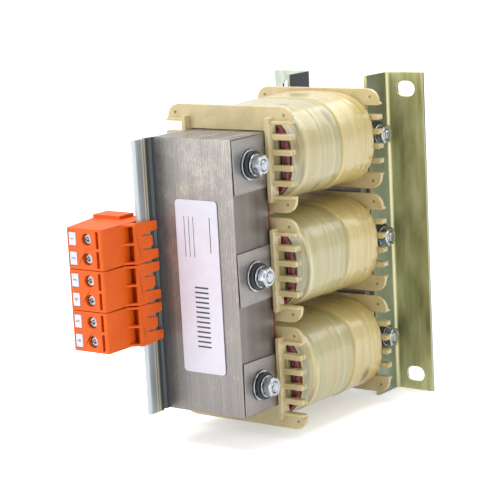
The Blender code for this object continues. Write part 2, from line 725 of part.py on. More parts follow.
def make_rail(rail_sheet, front_holes):
    """Terminal rail: a leg under the front bolt heads and a hem that carries the terminals."""
    fold = (RAIL_OUTER - HEM_FACE) / 2
    fold_y = -RAIL_REACH + fold
    slit_y = fold_y + HEM_SLIT
    hem_end = -RAIL_REACH + RAIL_HEM
    jog_end = -RAIL_JOG_START - RAIL_JOG
    outline = [(-RAIL_SEAT, RAIL_LEG), (-RAIL_SEAT, -RAIL_JOG_START), (-RAIL_INNER, jog_end)]
    outline += [(-RAIL_INNER, slit_y), (-RAIL_INNER + HEM_SLIT, slit_y)]
    outline += [(-RAIL_INNER + HEM_SLIT, hem_end), (-HEM_FACE, hem_end)]
    outline += arc((-RAIL_OUTER + fold, fold_y), fold, 0.0, -math.pi, 6)
    outline += [(-RAIL_OUTER, jog_end), (-RAIL_SEAT - RAIL_THICKNESS, -RAIL_JOG_START)]
    outline.append((-RAIL_SEAT - RAIL_THICKNESS, RAIL_LEG))
    mesh = bmesh.new()
    prism(mesh, outline, "Z", 0.0, CORE_LENGTH)
    rail = finish("terminal_rail", mesh, rail_sheet, 30.0)
    boolean(rail, front_holes, "DIFFERENCE")
    corners = bmesh.new()
    cut = RAIL_CORNER_CUT
    for end, inward in ((0.0, 1), (CORE_LENGTH, -1)):
        outline = [
            (RAIL_LEG - cut, end - inward * SEAT),
            (RAIL_LEG + SEAT, end + inward * (cut + SEAT)),
            (RAIL_LEG + SEAT, end - inward * cut),
            (RAIL_LEG - cut, end - inward * cut),
        ]
        prism(corners, outline, "X", -RAIL_OUTER - RAIL_THICKNESS, -RAIL_SEAT + RAIL_THICKNESS)
    boolean(rail, cutter("rail_corners", corners), "DIFFERENCE")


def block_body():
    """Main housing of a terminal block about its own middle height."""
    half = BLOCK_HEIGHT / 2
    rear = -BLOCK_REAR_SETBACK
    left = -BLOCK_LEFT
    radius = BLOCK_EDGE_RADIUS
    corners = (
        (-BLOCK_SIDE - BLOCK_FRONT_WIDTH, -BLOCK_FRONT, radius),
        (-BLOCK_SIDE, -BLOCK_FRONT, radius),
        (-BLOCK_SIDE, rear, radius),
        (left, rear, radius),
        (left, rear - BLOCK_REAR_DEPTH, 0.0),
    )
    mesh = bmesh.new()
    prism(mesh, rounded_outline(corners, 3), "Z", -half, half)
    return mesh


def block_comb():
    """Clip plate of a terminal block: two long hooked fingers and a short spring finger."""
    half = BLOCK_HEIGHT / 2
    long_inner = LONG_FINGER_CENTRE - LONG_FINGER_WIDTH / 2
    long_outer = LONG_FINGER_CENTRE + LONG_FINGER_WIDTH / 2
    upper = [
        (-COMB_PLATE_FRONT, half),
        (-COMB_NOTCH_ROOT, half),
        (-LONG_FINGER_TIP, long_outer),
        (-LONG_FINGER_TIP, long_inner),
        (-COMB_NOTCH_ROOT, NOTCH_CENTRE),
        (-SHORT_FINGER_TIP, SHORT_FINGER_WIDTH / 2),
    ]
    outline = upper + [(y, -z) for y, z in reversed(upper)]
    mesh = bmesh.new()
    prism(mesh, outline, "X", -COMB_PLATE_LEFT, -COMB_PLATE_RIGHT)
    return mesh


def block_hooks():
    """Small hooks behind the rail's hem, at the tips of the long fingers."""
    mesh = bmesh.new()
    for side in (-1, 1):
        centre = side * LONG_FINGER_CENTRE
        half = LONG_FINGER_WIDTH / 2 - SEAT
        inner_x = -COMB_PLATE_LEFT - HOOK_DEPTH
        overlap_x = -COMB_PLATE_LEFT + COMB_PLATE_THICKNESS / 2
        root_y = -HEM_END + SEAT
        tip_y = -LONG_FINGER_TIP - SEAT / 2
        outline = [(inner_x, root_y), (overlap_x, root_y), (overlap_x, tip_y), (inner_x + HOOK_DEPTH / 2, tip_y)]
        prism(mesh, outline, "Z", centre - half, centre + half)
    return mesh


def block_gussets():
    """Webs that carry the clip plate on the housing's side."""
    mesh = bmesh.new()
    half = BLOCK_HEIGHT / 2 - SEAT
    wall = COMB_PLATE_THICKNESS / 2
    foot = -BLOCK_SIDE - POCKET_DEPTH - wall
    outline = [
        (foot, -GUSSET_REAR),
        (foot, -COMB_PLATE_FRONT - GUSSET_FOOT),
        (-BLOCK_SIDE, -COMB_PLATE_FRONT - GUSSET_FOOT),
        (-COMB_PLATE_RIGHT - wall / 2, -COMB_PLATE_FRONT + wall / 2),
        (-COMB_PLATE_RIGHT - wall / 2, -GUSSET_REAR),
    ]
    for low in (-half, -GUSSET_THICKNESS / 2, half - GUSSET_THICKNESS):
        prism(mesh, outline, "Z", low, low + GUSSET_THICKNESS)
    return mesh


def block_pockets():
    """Recesses in the housing's side, one behind the clip plate at each pole."""
    mesh = bmesh.new()
    pocket_x = (-BLOCK_SIDE - POCKET_DEPTH, -BLOCK_SIDE + SEAT)
    pocket_y = (-GUSSET_REAR - POCKET_LENGTH, -GUSSET_REAR)
    box(mesh, pocket_x, pocket_y, (-BLOCK_HEIGHT / 2 + GUSSET_THICKNESS, BLOCK_HEIGHT / 2 - GUSSET_THICKNESS))
    return mesh


def lug_outline(grow):
    """Locating lug on top of a block, or with some growth its socket below."""
    left = -BLOCK_LEFT + LUG_MARGIN - grow
    right = left + LUG_WIDTH + 2 * grow
    back = -BLOCK_REAR_SETBACK - LUG_MARGIN + grow
    front = back - LUG_DEPTH - 2 * grow
    return [(left, front), (right, front), (right, back), (left, back)]


def block_cuts():
    """Probe slits and the hollow for the marker strip."""
    mesh = bmesh.new()
    left = -BLOCK_SIDE - BLOCK_FRONT_WIDTH
    for side in (-1, 1):
        height = side * POLE_PITCH / 2
        slit_x = left + PROBE_SLIT_OFFSET
        slit_half = PROBE_SLIT_WIDTH / 2
        slit_y = (-BLOCK_FRONT - TAG_SKIN, -BLOCK_FRONT + PROBE_SLIT_DEPTH)
        slit_z = (height - PROBE_SLIT_HEIGHT / 2, height + PROBE_SLIT_HEIGHT / 2)
        box(mesh, (slit_x - slit_half, slit_x + slit_half), slit_y, slit_z)
    tag_x = left + TAG_OFFSET
    half = TAG_WIDTH / 2 + SEAT
    prism(mesh, marker_profile(SEAT), "X", tag_x - half, tag_x + half)
    return mesh


def marker_profile(grow):
    """Side view of a marker strip: two tags joined behind the housing's front skin."""
    low = (POLE_PITCH - TAG_HEIGHT) / 2 - grow
    high = (POLE_PITCH + TAG_HEIGHT) / 2 + grow
    front = -BLOCK_FRONT - grow
    web = -BLOCK_FRONT + TAG_SKIN - grow
    back = -BLOCK_FRONT + TAG_DEPTH + grow
    upper = [(web, low), (front, low), (front, high), (back, high)]
    return upper + [(y, -z) for y, z in reversed(upper)]


def block_bores():
    """Stepped wells for the clamp screws and the wire entries that meet them."""
    wells = bmesh.new()
    entries = bmesh.new()
    x = -BLOCK_SIDE - BLOCK_FRONT_WIDTH + WELL_OFFSET
    seat_y = -BLOCK_FRONT + HEAD_RECESS + CLAMP_HEAD_HEIGHT + SEAT
    wire_y = -BLOCK_FRONT + WIRE_ENTRY_SETBACK
    for side in (-1, 1):
        height = side * POLE_PITCH / 2
        profile = (
            (-BLOCK_FRONT - HEAD_RECESS, WELL_DIAMETER / 2),
            (seat_y, WELL_DIAMETER / 2),
            (seat_y, CLAMP_SHANK_DIAMETER / 2 + SEAT),
            (wire_y, CLAMP_SHANK_DIAMETER / 2 + SEAT),
        )
        loops = []
        for loop in turned_loops(profile, HEX_SEGMENTS):
            loops.append([(x + across, along, height + up) for along, across, up in loop])
        join_loops(wells, loops, False)
        outline = circle(WIRE_ENTRY_DIAMETER / 2, HEX_SEGMENTS, (wire_y, height))
        prism(entries, outline, "X", -BLOCK_LEFT - WIRE_ENTRY_DIAMETER, x + WELL_DIAMETER / 2)
    return wells, entries


def make_terminal_blocks(orange, zinc, white):
    """Three two-pole terminal blocks with clamp screws and marker strips."""
    half = BLOCK_HEIGHT / 2
    first = finish("terminal_block_1", block_body(), orange, 30.0)
    lug = bmesh.new()
    prism(lug, lug_outline(0.0), "Z", half - LUG_HEIGHT, half + LUG_HEIGHT)
    socket = bmesh.new()
    prism(socket, lug_outline(SEAT), "Z", -half - LUG_HEIGHT, -half + LUG_HEIGHT + SEAT)
    wells, entries = block_bores()
    tools = (
        (cutter("block_pockets", block_pockets()), "DIFFERENCE"),
        (cutter("block_gussets", block_gussets()), "UNION"),
        (cutter("block_comb", block_comb()), "UNION"),
        (cutter("block_hooks", block_hooks()), "UNION"),
        (cutter("block_lug", lug), "UNION"),
        (cutter("block_socket", socket), "DIFFERENCE"),
        (cutter("block_cuts", block_cuts()), "DIFFERENCE"),
        (cutter("block_wells", wells), "DIFFERENCE"),
        (cutter("block_entries", entries), "DIFFERENCE"),
    )
    screw = make_clamp_screw("clamp_screw_1", zinc)
    strip = make_marker_strip("marker_strip_1", white)
    for index in range(BLOCK_COUNT):
        middle = CORE_LENGTH / 2 - BLOCK_CENTRE_DROP
        height = middle + ((BLOCK_COUNT - 1) / 2 - index) * BLOCK_PITCH
        place = (0.0, 0.0, height)
        block = first if index == 0 else place_object(f"terminal_block_{index + 1}", first.data)
        block.location = place
        for tool, operation in tools:
            own = tool if index == 0 else cutter_copy(tool, f"{tool.name}_{index + 1}")
            own.location = place
            boolean(block, own, operation)
        if index == 0:
            strip.location = place
        else:
            place_object(f"marker_strip_{index + 1}", strip.data, place)
        for pole, side in enumerate((1, -1)):
            number = 2 * index + pole + 1
            own = screw if number == 1 else place_object(f"clamp_screw_{number}", screw.data)
            own.location = (
                -BLOCK_SIDE - BLOCK_FRONT_WIDTH + WELL_OFFSET,
                -BLOCK_FRONT + HEAD_RECESS,
                height + side * POLE_PITCH / 2,
            )


def make_clamp_screw(name, zinc):
    """Cheese-head clamp screw along +Y with a straight slot in its head."""
    head_radius = WELL_DIAMETER / 2 - SEAT
    shank_radius = CLAMP_SHANK_DIAMETER / 2
    edge = CLAMP_HEAD_HEIGHT / 5
    profile = (
        (0.0, head_radius - edge),
        (edge, head_radius),
        (CLAMP_HEAD_HEIGHT, head_radius),
        (CLAMP_HEAD_HEIGHT, shank_radius),
        (CLAMP_HEAD_HEIGHT + CLAMP_SHANK_LENGTH, shank_radius),
    )
    loops = [[(across, along, up) for along, across, up in loop] for loop in turned_loops(profile, HEX_SEGMENTS)]
    mesh = bmesh.new()
    join_loops(mesh, loops, False)
    screw = finish(name, mesh, zinc, 40.0)
    slot = bmesh.new()
    half = CLAMP_DRIVE_WIDTH / 2
    reach = WELL_DIAMETER
    box(slot, (-half, half), (-CLAMP_DRIVE_DEPTH, CLAMP_DRIVE_DEPTH), (-reach, reach))
    tool = cutter("clamp_drive", slot)
    boolean(screw, tool, "DIFFERENCE")
    depsgraph = bpy.context.evaluated_depsgraph_get()
    screw.data = bpy.data.meshes.new_from_object(screw.evaluated_get(depsgraph))
    screw.modifiers.clear()
    bpy.data.objects.remove(tool)
    return screw


def make_marker_strip(name, white):
    """Marker strip of one block, seated in its front face."""
    mesh = bmesh.new()
    x = -BLOCK_SIDE - BLOCK_FRONT_WIDTH + TAG_OFFSET
    prism(mesh, marker_profile(0.0), "X", x - TAG_WIDTH / 2, x + TAG_WIDTH / 2)
    return finish(name, mesh, white)


def make_nameplate(white):
    """Plain nameplate on the front yoke."""
    mesh = bmesh.new()
    centre = (LABEL_CENTRE_X, CORE_LENGTH / 2 - LABEL_CENTRE_DROP)
    outline = rounded_rectangle(LABEL_WIDTH / 2, LABEL_HEIGHT / 2, LABEL_CORNER_RADIUS, centre)
    prism(mesh, outline, "Y", -SEAT - LABEL_THICKNESS, -SEAT)
    finish("nameplate", mesh, white)


def main():
    """Clear the scene and build the whole reactor."""
    for item in list(bpy.data.objects):
        bpy.data.objects.remove(item)
    root = bpy.data.objects.new("line_reactor", None)
    bpy.context.scene.collection.objects.link(root)
    root.location = -ORIGIN

    core_steel = material("core_steel", (0.38, 0.36, 0.34), 0.45, 0.8)
    bare_steel = material("bare_steel", (0.45, 0.44, 0.42), 0.35, 0.9)
    zinc = material("zinc_plated_steel", (0.62, 0.64, 0.66), 0.3, 1.0)
    chromated = material("chromated_steel", (0.36, 0.36, 0.18), 0.35, 0.9)
    rail_sheet = material("rail_sheet", (0.55, 0.57, 0.6), 0.35, 1.0)
    pressboard = material("red_pressboard", (0.25, 0.05, 0.03), 0.7)
    nylon = material("ivory_nylon", (0.83, 0.72, 0.47), 0.4, 0.0, 0.2)
    enamel = material("enamelled_wire", (0.2, 0.01, 0.02), 0.25)
    foil = material("insulating_foil", (0.72, 0.67, 0.42), 0.35, 0.0, 0.1)
    orange = material("orange_polyamide", (0.86, 0.15, 0.012), 0.5)
    black = material("black_plastic", (0.012, 0.012, 0.016), 0.45)
    white = material("white_label", (0.8, 0.77, 0.86), 0.5)

    reach = RAIL_OUTER + HEAD_HEIGHT
    front_holes = bolt_hole_cutter("front_bolt_holes", FRONT_BOLT_Y, (-reach, reach))
    back_holes = bolt_hole_cutter("back_bolt_holes", BACK_BOLT_Y, (-reach, reach))
    make_core(core_steel, pressboard, front_holes, back_holes)
    make_bobbins(nylon)
    make_windings(enamel, foil)
    make_bolt_rows(zinc, black)
    make_pressure_plates(bare_steel)
    make_mounting_angles(chromated, back_holes)
    make_rail(rail_sheet, front_holes)
    make_terminal_blocks(orange, zinc, white)
    make_nameplate(white)


main()
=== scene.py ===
"""Three-phase line reactor with foil-wrapped coils, dressed over its fixed solids.

The laminated core, the film-wrapped coils on their comb-flanged bobbins, the
mounting angles and the orange terminals are each made by one operator.
"""

import math

import bmesh
import bpy
from mathutils import Matrix, Vector, noise
from mathutils.bvhtree import BVHTree


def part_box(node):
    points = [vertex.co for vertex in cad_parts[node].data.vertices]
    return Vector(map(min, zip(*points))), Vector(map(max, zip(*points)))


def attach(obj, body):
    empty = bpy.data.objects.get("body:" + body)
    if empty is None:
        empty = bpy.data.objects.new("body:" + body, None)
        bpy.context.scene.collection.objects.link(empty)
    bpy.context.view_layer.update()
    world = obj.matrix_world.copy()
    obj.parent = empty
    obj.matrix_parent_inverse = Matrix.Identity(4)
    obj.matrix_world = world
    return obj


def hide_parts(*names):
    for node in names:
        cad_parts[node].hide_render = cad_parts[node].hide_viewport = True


bl_info = {
    "name": "Line reactor",
    "version": (1, 0, 0),
    "blender": (4, 5, 0),
    "location": "View3D > Sidebar > Reactor",
    "description": "Builds the visible pieces of a three-phase line reactor",
    "category": "Object",
}

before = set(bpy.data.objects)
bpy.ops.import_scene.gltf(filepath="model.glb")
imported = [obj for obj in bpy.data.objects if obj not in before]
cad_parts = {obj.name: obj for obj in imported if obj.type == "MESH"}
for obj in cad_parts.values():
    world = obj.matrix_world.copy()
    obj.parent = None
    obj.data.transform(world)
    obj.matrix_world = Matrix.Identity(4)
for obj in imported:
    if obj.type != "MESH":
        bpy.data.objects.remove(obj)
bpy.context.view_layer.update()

MM = 0.001
COILS = (1, 2, 3)

# Points closer than these are one: in the solids, and at the seams of turned pieces
WELD = 0.002 * MM
SEAM = 0.001 * MM
# Faces whose directions agree this well lie in one flat area
FLAT = 0.99999

# Places that the solids give: the core's middle plane, its nameplate face and its foot
YOKE_LOW, YOKE_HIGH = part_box("front_yoke")
CORE = Vector(((YOKE_LOW.x + YOKE_HIGH.x) / 2, YOKE_LOW.y, YOKE_LOW.z))
CORE_TOP = YOKE_HIGH.z
HALF_STACK = (YOKE_HIGH.x - YOKE_LOW.x) / 2
CORE_LENGTH = CORE_TOP - YOKE_LOW.z
LIMB_WIDTH = CORE_LENGTH / 5
LOWEST_LIMB = CORE_TOP - LIMB_WIDTH * 4.5

# The loops round a limb are straight over this half width, and the film's have this squareness
COIL_STRAIGHT = HALF_STACK * 0.55
FILM_SQUARENESS = 2.5

# M6 hardware
ACROSS_FLATS = 10.0 * MM
CORNER_RADIUS = 5.77 * MM
NUT_BORE = 3.0 * MM
WASHER_BORE = 3.2 * MM
THREAD_CREST = 2.97 * MM
THREAD_ROOT = 2.5 * MM
# The punched rim of a large washer ends a little inside its solid
LARGE_WASHER_SHARE = 0.95

# Viewing angle of the photograph, solved from the core, the nuts and an angle
CAMERA_PLACE = (0.59586363, -0.79771986, 0.29098448)
CAMERA_RIGHT = (0.80505053, 0.59091892, -0.05204307)
CAMERA_DOWN = (0.07079311, -0.18280896, -0.98059636)
CAMERA_AHEAD = (-0.58896688, 0.78574532, -0.18900344)
CAMERA_LENS = 130.77


def linear(code):
    """Turn an sRGB hex colour into linear RGBA."""
    channels = [int(code[place:place + 2], 16) / 255 for place in (1, 3, 5)]
    turned = [c / 12.92 if c <= 0.04045 else ((c + 0.055) / 1.055) ** 2.4 for c in channels]
    return (*turned, 1.0)


def size_property(name, description, default):
    """Length that a user may change."""
    return bpy.props.FloatProperty(
        name=name, description=description, default=default, min=0.0, precision=5, unit="LENGTH"
    )


def colour_property(name, description, code):
    """Colour that a user may change, written as sRGB hex."""
    return bpy.props.FloatVectorProperty(
        name=name, description=description, default=linear(code), size=4, min=0.0, max=1.0, subtype="COLOR"
    )


class ReactorSizes(bpy.types.PropertyGroup):
    """Sizes of the visible detail."""

    sheet: size_property("Lamination", "Thickness of one core sheet with its varnish", 0.5 * MM)
    sheet_scatter: size_property("Sheet scatter", "How far a core sheet may stand out of line", 0.05 * MM)
    wire: size_property("Wire", "Diameter of the enamelled winding wire", 1.36 * MM)
    film_step: size_property("Film step", "Height of an edge in the film round a coil", 0.28 * MM)
    moulded_edge: size_property("Moulded edge", "Rounding of moulded plastic edges", 0.32 * MM)
    sheared_edge: size_property("Sheared edge", "Rounding of sheared sheet metal edges", 0.18 * MM)
    thread_pitch: size_property("Thread pitch", "Pitch of the clamping bolts", 1.0 * MM)


class ReactorColours(bpy.types.PropertyGroup):
    """Colours of the finishes."""

    steel: colour_property("Core steel", "Cut edge of silicon steel sheet", "#9E9A97")
    zinc: colour_property("Zinc", "Bright zinc plating", "#B4BABF")
    chromate: colour_property("Chromate", "Yellow chromate over zinc", "#C2C18D")
    rail: colour_property("Rail", "Galvanised sheet of the terminal rail", "#B4BABF")
    nylon: colour_property("Bobbin nylon", "Natural glass-filled nylon", "#D1C194")
    film: colour_property("Film", "Polyester film over the coils", "#B4AA81")
    enamel: colour_property("Enamel", "Dark red wire enamel", "#6C0A1C")
    orange: colour_property("Terminal orange", "Orange polyamide of the terminals", "#E05D08")
    label: colour_property("Label", "White film label", "#DBD9E5")
    floor: colour_property("Floor", "Plain pale floor", "#F4F4F4")


def first_output(node):
    """The first output that a node's settings leave open."""
    return next(socket for socket in node.outputs if socket.enabled)


def add(tree, kind, inputs=None, stops=None, **settings):
    """Add one node with its settings; an input is a value, a socket, or a node that feeds it.

    Shader kinds, which every tree may use, are given without their ShaderNode prefix.
    """
    node = tree.nodes.new(kind if "Node" in kind else f"ShaderNode{kind}")
    for field, value in settings.items():
        setattr(node, field, value)
    if stops:
        elements = node.color_ramp.elements
        elements.remove(elements[1])
        elements[0].position = stops[0][0]
        elements[0].color = stops[0][1]
        for place, colour in stops[1:]:
            elements.new(place).color = colour
    for socket, value in (inputs or {}).items():
        if isinstance(value, bpy.types.Node):
            value = first_output(value)
        if isinstance(value, bpy.types.NodeSocket):
            tree.links.new(value, node.inputs[socket])
        else:
            node.inputs[socket].default_value = value
    return node


def shade(colour, factor, tint=(1.0, 1.0, 1.0)):
    """A lighter, darker or tinted relative of a linear colour."""
    return (*(min(1.0, c * factor * t) for c, t in zip(colour, tint)), 1.0)


def tones(base, *stops):
    """Stops of a ramp, each a place with a hex colour, or with a factor and a tint for the base colour."""
    return [
        (place, linear(tone) if isinstance(tone, str) else shade(base, tone, *tint))
        for place, tone, *tint in stops
    ]


def start_finish(name, **constants):
    """New material: its tree, its shader with the constant sockets set, and Object coordinates."""
    finish = bpy.data.materials.new(name)
    finish.use_nodes = True
    tree = finish.node_tree
    shader = tree.nodes["Principled BSDF"]
    for socket, value in constants.items():
        shader.inputs[socket.replace("_", " ")].default_value = value
    place = add(tree, "TexCoord").outputs["Object"]
    return finish, tree, shader, place


def pattern(tree, place, scale, detail=3.0, turn=(0.0, 0.0, 0.0), **more):
    """Noise over a finish, stretched by a scale for each axis, or even where it is one number."""
    scales = scale if isinstance(scale, tuple) else (scale, scale, scale)
    stretched = add(tree, "Mapping", {"Vector": place, "Rotation": turn, "Scale": scales})
    return add(tree, "TexNoise", {"Vector": stretched, "Scale": 1.0, "Detail": detail, **more})


def cover(tree, under, over, value, start, end, least=0.0, most=1.0):
    """Lay a colour over another, from least to most as a value goes from start to end."""
    mask = add(tree, "MapRange", {0: value, 1: start, 2: end, 3: least, 4: most})
    return add(tree, "Mix", {0: mask, 6: under, 7: over}, data_type="RGBA")


def facing(tree, axis):
    """How squarely a face looks along an axis, from 0 to 1."""
    normal = add(tree, "SeparateXYZ", {0: add(tree, "TexCoord").outputs["Normal"]})
    return add(tree, "Math", {0: normal.outputs[axis]}, operation="ABSOLUTE")


def feed(tree, shader, colour, rough=None, relief=None):
    """Link a colour, a roughness (pattern, least, most) and a relief (pattern, mm, strength)."""
    sources = {"Base Color": colour}
    if rough:
        sources["Roughness"] = add(tree, "MapRange", {0: rough[0], 3: rough[1], 4: rough[2]})
    if relief:
        values = {"Height": relief[0], "Distance": relief[1] * MM, "Strength": relief[2]}
        sources["Normal"] = add(tree, "Bump", values)
    for socket, node in sources.items():
        tree.links.new(first_output(node), shader.inputs[socket])


def plain_finish(name, stops, patterns, rough, relief, share=0.0, **constants):
    """Material that follows one or two patterns; rough and relief name theirs by its number."""
    finish, tree, shader, place = start_finish(name, **constants)
    made = [pattern(tree, place, **values) for values in patterns]
    mixed = made[0]
    if share:
        mixed = add(tree, "Mix", {0: share, 2: made[0], 3: made[1]})
    ramp = add(tree, "ValToRGB", {0: mixed}, stops)
    followed = [values and (made[values[0]], *values[1:]) for values in (rough, relief)]
    feed(tree, shader, ramp, *followed)
    return finish


def electrical_steel(colours):
    """Silicon steel laminations: punched edges are streaked and pale, a sheet's rolled side is browner."""
    finish, tree, shader, place = start_finish("varnished_electrical_steel", Metallic=0.78)
    base = colours.steel
    # Upright shearing marks on the cut faces, 0.25 mm wide and some 40 mm long, on sheets of differing tone
    marks = pattern(tree, place, (4000, 1100, 25))
    tone = add(tree, "Attribute", attribute_name="sheet_tone").outputs["Fac"]
    sheet_mix = add(tree, "Math", {0: tone, 1: 0.28, 2: 0.08}, operation="MULTIPLY_ADD")
    mark_mix = add(tree, "Math", {0: marks, 1: 0.5, 2: sheet_mix}, operation="MULTIPLY_ADD")
    streak_stops = tones(base, (0.2, 0.8), (0.5, 0.96), (0.9, 1.12))
    streaks = add(tree, "ValToRGB", {0: mark_mix}, streak_stops)
    # Grey clouds of handling stain, 12 mm across
    clouds = pattern(tree, place, 85.0, 4.0, Roughness=0.6)
    stain_and_shade = cover(tree, streaks, shade(base, 0.7, (1.0, 0.97, 0.94)), clouds, 0.48, 0.78, most=0.45)
    # Varnish flecks 0.5 mm wide and 2 mm high, thicker towards the top
    flecks = pattern(tree, place, (1900, 1900, 480), 5.0, Roughness=0.7)
    upright = add(tree, "SeparateXYZ", {0: place}).outputs["Z"]
    height = add(tree, "MapRange", {0: upright, 1: CORE.z, 2: CORE_TOP})
    spread = add(tree, "Math", {0: flecks, 1: clouds}, operation="MULTIPLY")
    gained = add(tree, "Math", {0: height, 1: 0.1, 2: spread}, operation="MULTIPLY_ADD")
    flecked = cover(tree, stain_and_shade, linear("#E6DFCC"), gained, 0.3, 0.48, most=0.4)
    # Painted shade: the core is painted darker towards its foot, where less light falls
    foot_shaded = cover(tree, flecked, shade(base, 0.3), height, 0.0, 0.75, 0.2, 0.0)
    # The outermost sheet shows its rolled side: brown-grey with soft upright bands 6 mm wide
    bands = pattern(tree, place, (160, 160, 6), 5.0)
    umber = (1.0, 0.95, 0.9)
    side_stops = tones(base, (0.3, 0.46, umber), (0.55, 0.55, umber), (0.75, 0.66))
    rolled = add(tree, "ValToRGB", {0: bands}, side_stops)
    sided = cover(tree, foot_shaded, rolled, facing(tree, "X"), 0.6, 0.8)
    feed(tree, shader, sided, (marks, 0.34, 0.54), (marks, 0.02, 0.5))
    return finish


def bare_steel(colours):
    """Cold-rolled steel sheet: satin grey with fine rolling scratches and oily blotches."""
    # Rolling scratches 0.15 mm wide and 20 mm long lie across the plate
    scratches = {"scale": (800, 60, 3000), "detail": 4.0, "turn": (0.12, 0, 0)}
    blotches = {"scale": 150.0, "detail": 5.0, "Roughness": 0.65}
    stops = tones(colours.steel, (0.25, 0.62, (0.97, 0.98, 1.0)), (0.55, 0.86), (0.8, 1.05))
    patterns = (scratches, blotches)
    return plain_finish(
        "cold_rolled_steel", stops, patterns, (1, 0.26, 0.5), (0, 0.02, 0.5), 0.55, Metallic=0.85
    )


def zinc_plating(colours):
    """Bright zinc plating on fasteners: bluish silver with a faintly cloudy gloss."""
    # Plating clouds 3 mm across and a fine satin grain
    patterns = ({"scale": 330.0, "Roughness": 0.5}, {"scale": 5000.0, "detail": 2.0})
    stops = tones(colours.zinc, (0.3, 0.6), (0.5, 0.84), (0.7, 1.06))
    return plain_finish(
        "bright_zinc_plating", stops, patterns, (0, 0.2, 0.34), (1, 0.004, 0.2), Metallic=1.0
    )


def yellow_chromate(colours):
    """Yellow chromated zinc: satin olive with paler and darker smears that run up the sheet."""
    finish, tree, shader, place = start_finish("yellow_chromated_zinc", Metallic=0.6)
    base = colours.chromate
    # Rolling marks 1 mm wide and 60 mm long, and passivation clouds 9 mm wide and 30 mm high
    marks = pattern(tree, place, (500, 500, 12), 4.0)
    clouds = pattern(tree, place, (110, 110, 33), 4.0, Distortion=0.5)
    mixed = add(tree, "Mix", {0: 0.25, 2: clouds, 3: marks})
    dark, olive, pale = (0.96, 1.0, 0.9), (1.0, 1.0, 0.86), (1.0, 1.0, 1.12)
    stops = tones(base, (0.27, 0.34, dark), (0.4, 0.72, olive), (0.55, 1.0), (0.7, 1.24, pale))
    ramp = add(tree, "ValToRGB", {0: mixed}, stops)
    # Painted shade: the legs that lie against the core face sideways and are painted a darker, bluer grey
    # than the flanges of the same sheet, and browner at the top
    parts = add(tree, "SeparateXYZ", {0: place}).outputs
    leg = add(tree, "ValToRGB", {0: mixed}, tones(base, (0.3, "#849082"), (0.7, "#9BA698")))
    brown_start = CORE.z + CORE_LENGTH * 0.6
    browned = cover(tree, leg, linear("#5F5F45"), parts["Z"], brown_start, CORE_TOP, most=0.75)
    sideways = facing(tree, "X")
    legs_shaded = cover(tree, ramp, browned, sideways, 0.75, 0.95)
    # Painted highlight: on the bend, between the two directions, a cream highlight is painted on the zinc
    both = add(tree, "Math", {0: facing(tree, "Y"), 1: sideways}, operation="MULTIPLY")
    bend_highlit = cover(tree, legs_shaded, linear("#D6D0A4"), both, 0.2, 0.5, most=0.8)
    # Painted light: the far angle, which catches more of the light from the front left, is painted paler and
    # more silvery
    is_far = add(tree, "Math", {0: parts["X"], 1: CORE.x}, operation="LESS_THAN")
    far_lit_stops = tones(base, (0.3, "#949C8E"), (0.55, "#B9C1B2"), (0.8, "#CDD2C4"))
    far = add(tree, "ValToRGB", {0: mixed}, far_lit_stops)
    toned = add(tree, "Mix", {0: is_far, 6: bend_highlit, 7: far}, data_type="RGBA")
    feed(tree, shader, toned, (marks, 0.3, 0.48), (marks, 0.02, 0.35))
    return finish


def dark_passivation(colours):
    """Inner side of the far angle: a blue-black painted for the shade on it and the dark that it reflects;
    it hardly reflects itself.
    """
    stops = tones(None, (0.3, "#12181E"), (0.55, "#1B232B"), (0.8, "#2A333C"))
    clouds = ({"scale": 160.0},)
    return plain_finish("painted_shade_dark_zinc", stops, clouds, (0, 0.36, 0.5), (0, 0.02, 0.3), Metallic=0.3)


def galvanised_sheet(colours):
    """Galvanised rail: cool pale grey with upright streaks, painted highlights along its folds and a painted
    shadow strip beside the core.
    """
    finish, tree, shader, place = start_finish("galvanised_sheet", Metallic=0.7)
    base = colours.rail
    marks = pattern(tree, place, (1100, 1100, 16))
    # Zinc spangle 3 mm across
    spangle = add(tree, "TexVoronoi", {"Vector": place, "Scale": 330.0}).outputs["Color"]
    mixed = add(tree, "Mix", {0: 0.2, 2: marks, 3: spangle})
    stops = tones(base, (0.25, 0.62), (0.45, 0.86), (0.7, 1.08, (1.0, 1.0, 0.97)))
    ramp = add(tree, "ValToRGB", {0: mixed}, stops)
    # Painted light across the sheet, from its free edge inwards: a pale highlight on the hemmed edge, grey
    # with two cream highlights at the folds, a dark painted shadow beside the core, grey again
    inwards = add(tree, "SeparateXYZ", {0: place}).outputs["Y"]
    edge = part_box("terminal_rail")[0].y
    across = add(tree, "MapRange", {0: inwards, 1: edge, 2: CORE.y + 1.5 * MM})
    light_and_shade_stops = tones(
        base, (0.0, 1.04, (0.98, 1.0, 0.97)), (0.12, 1.0), (0.15, 0.86), (0.3, 0.76), (0.33, "#F2EBCB"),
        (0.37, 0.74), (0.4, "#85846E"), (0.43, "#E6DFB2"), (0.47, "#8E9088"), (0.5, "#343C41"),
        (0.56, "#262D32"), (0.86, "#20272C"), (0.96, 0.8), (1.0, 0.92),
    )
    light_and_shade_strips = add(tree, "ValToRGB", {0: across}, light_and_shade_stops)
    toned = add(tree, "Mix", {0: 0.86, 6: ramp, 7: light_and_shade_strips}, data_type="RGBA")
    feed(tree, shader, toned, (marks, 0.3, 0.5), (marks, 0.015, 0.3))
    return finish


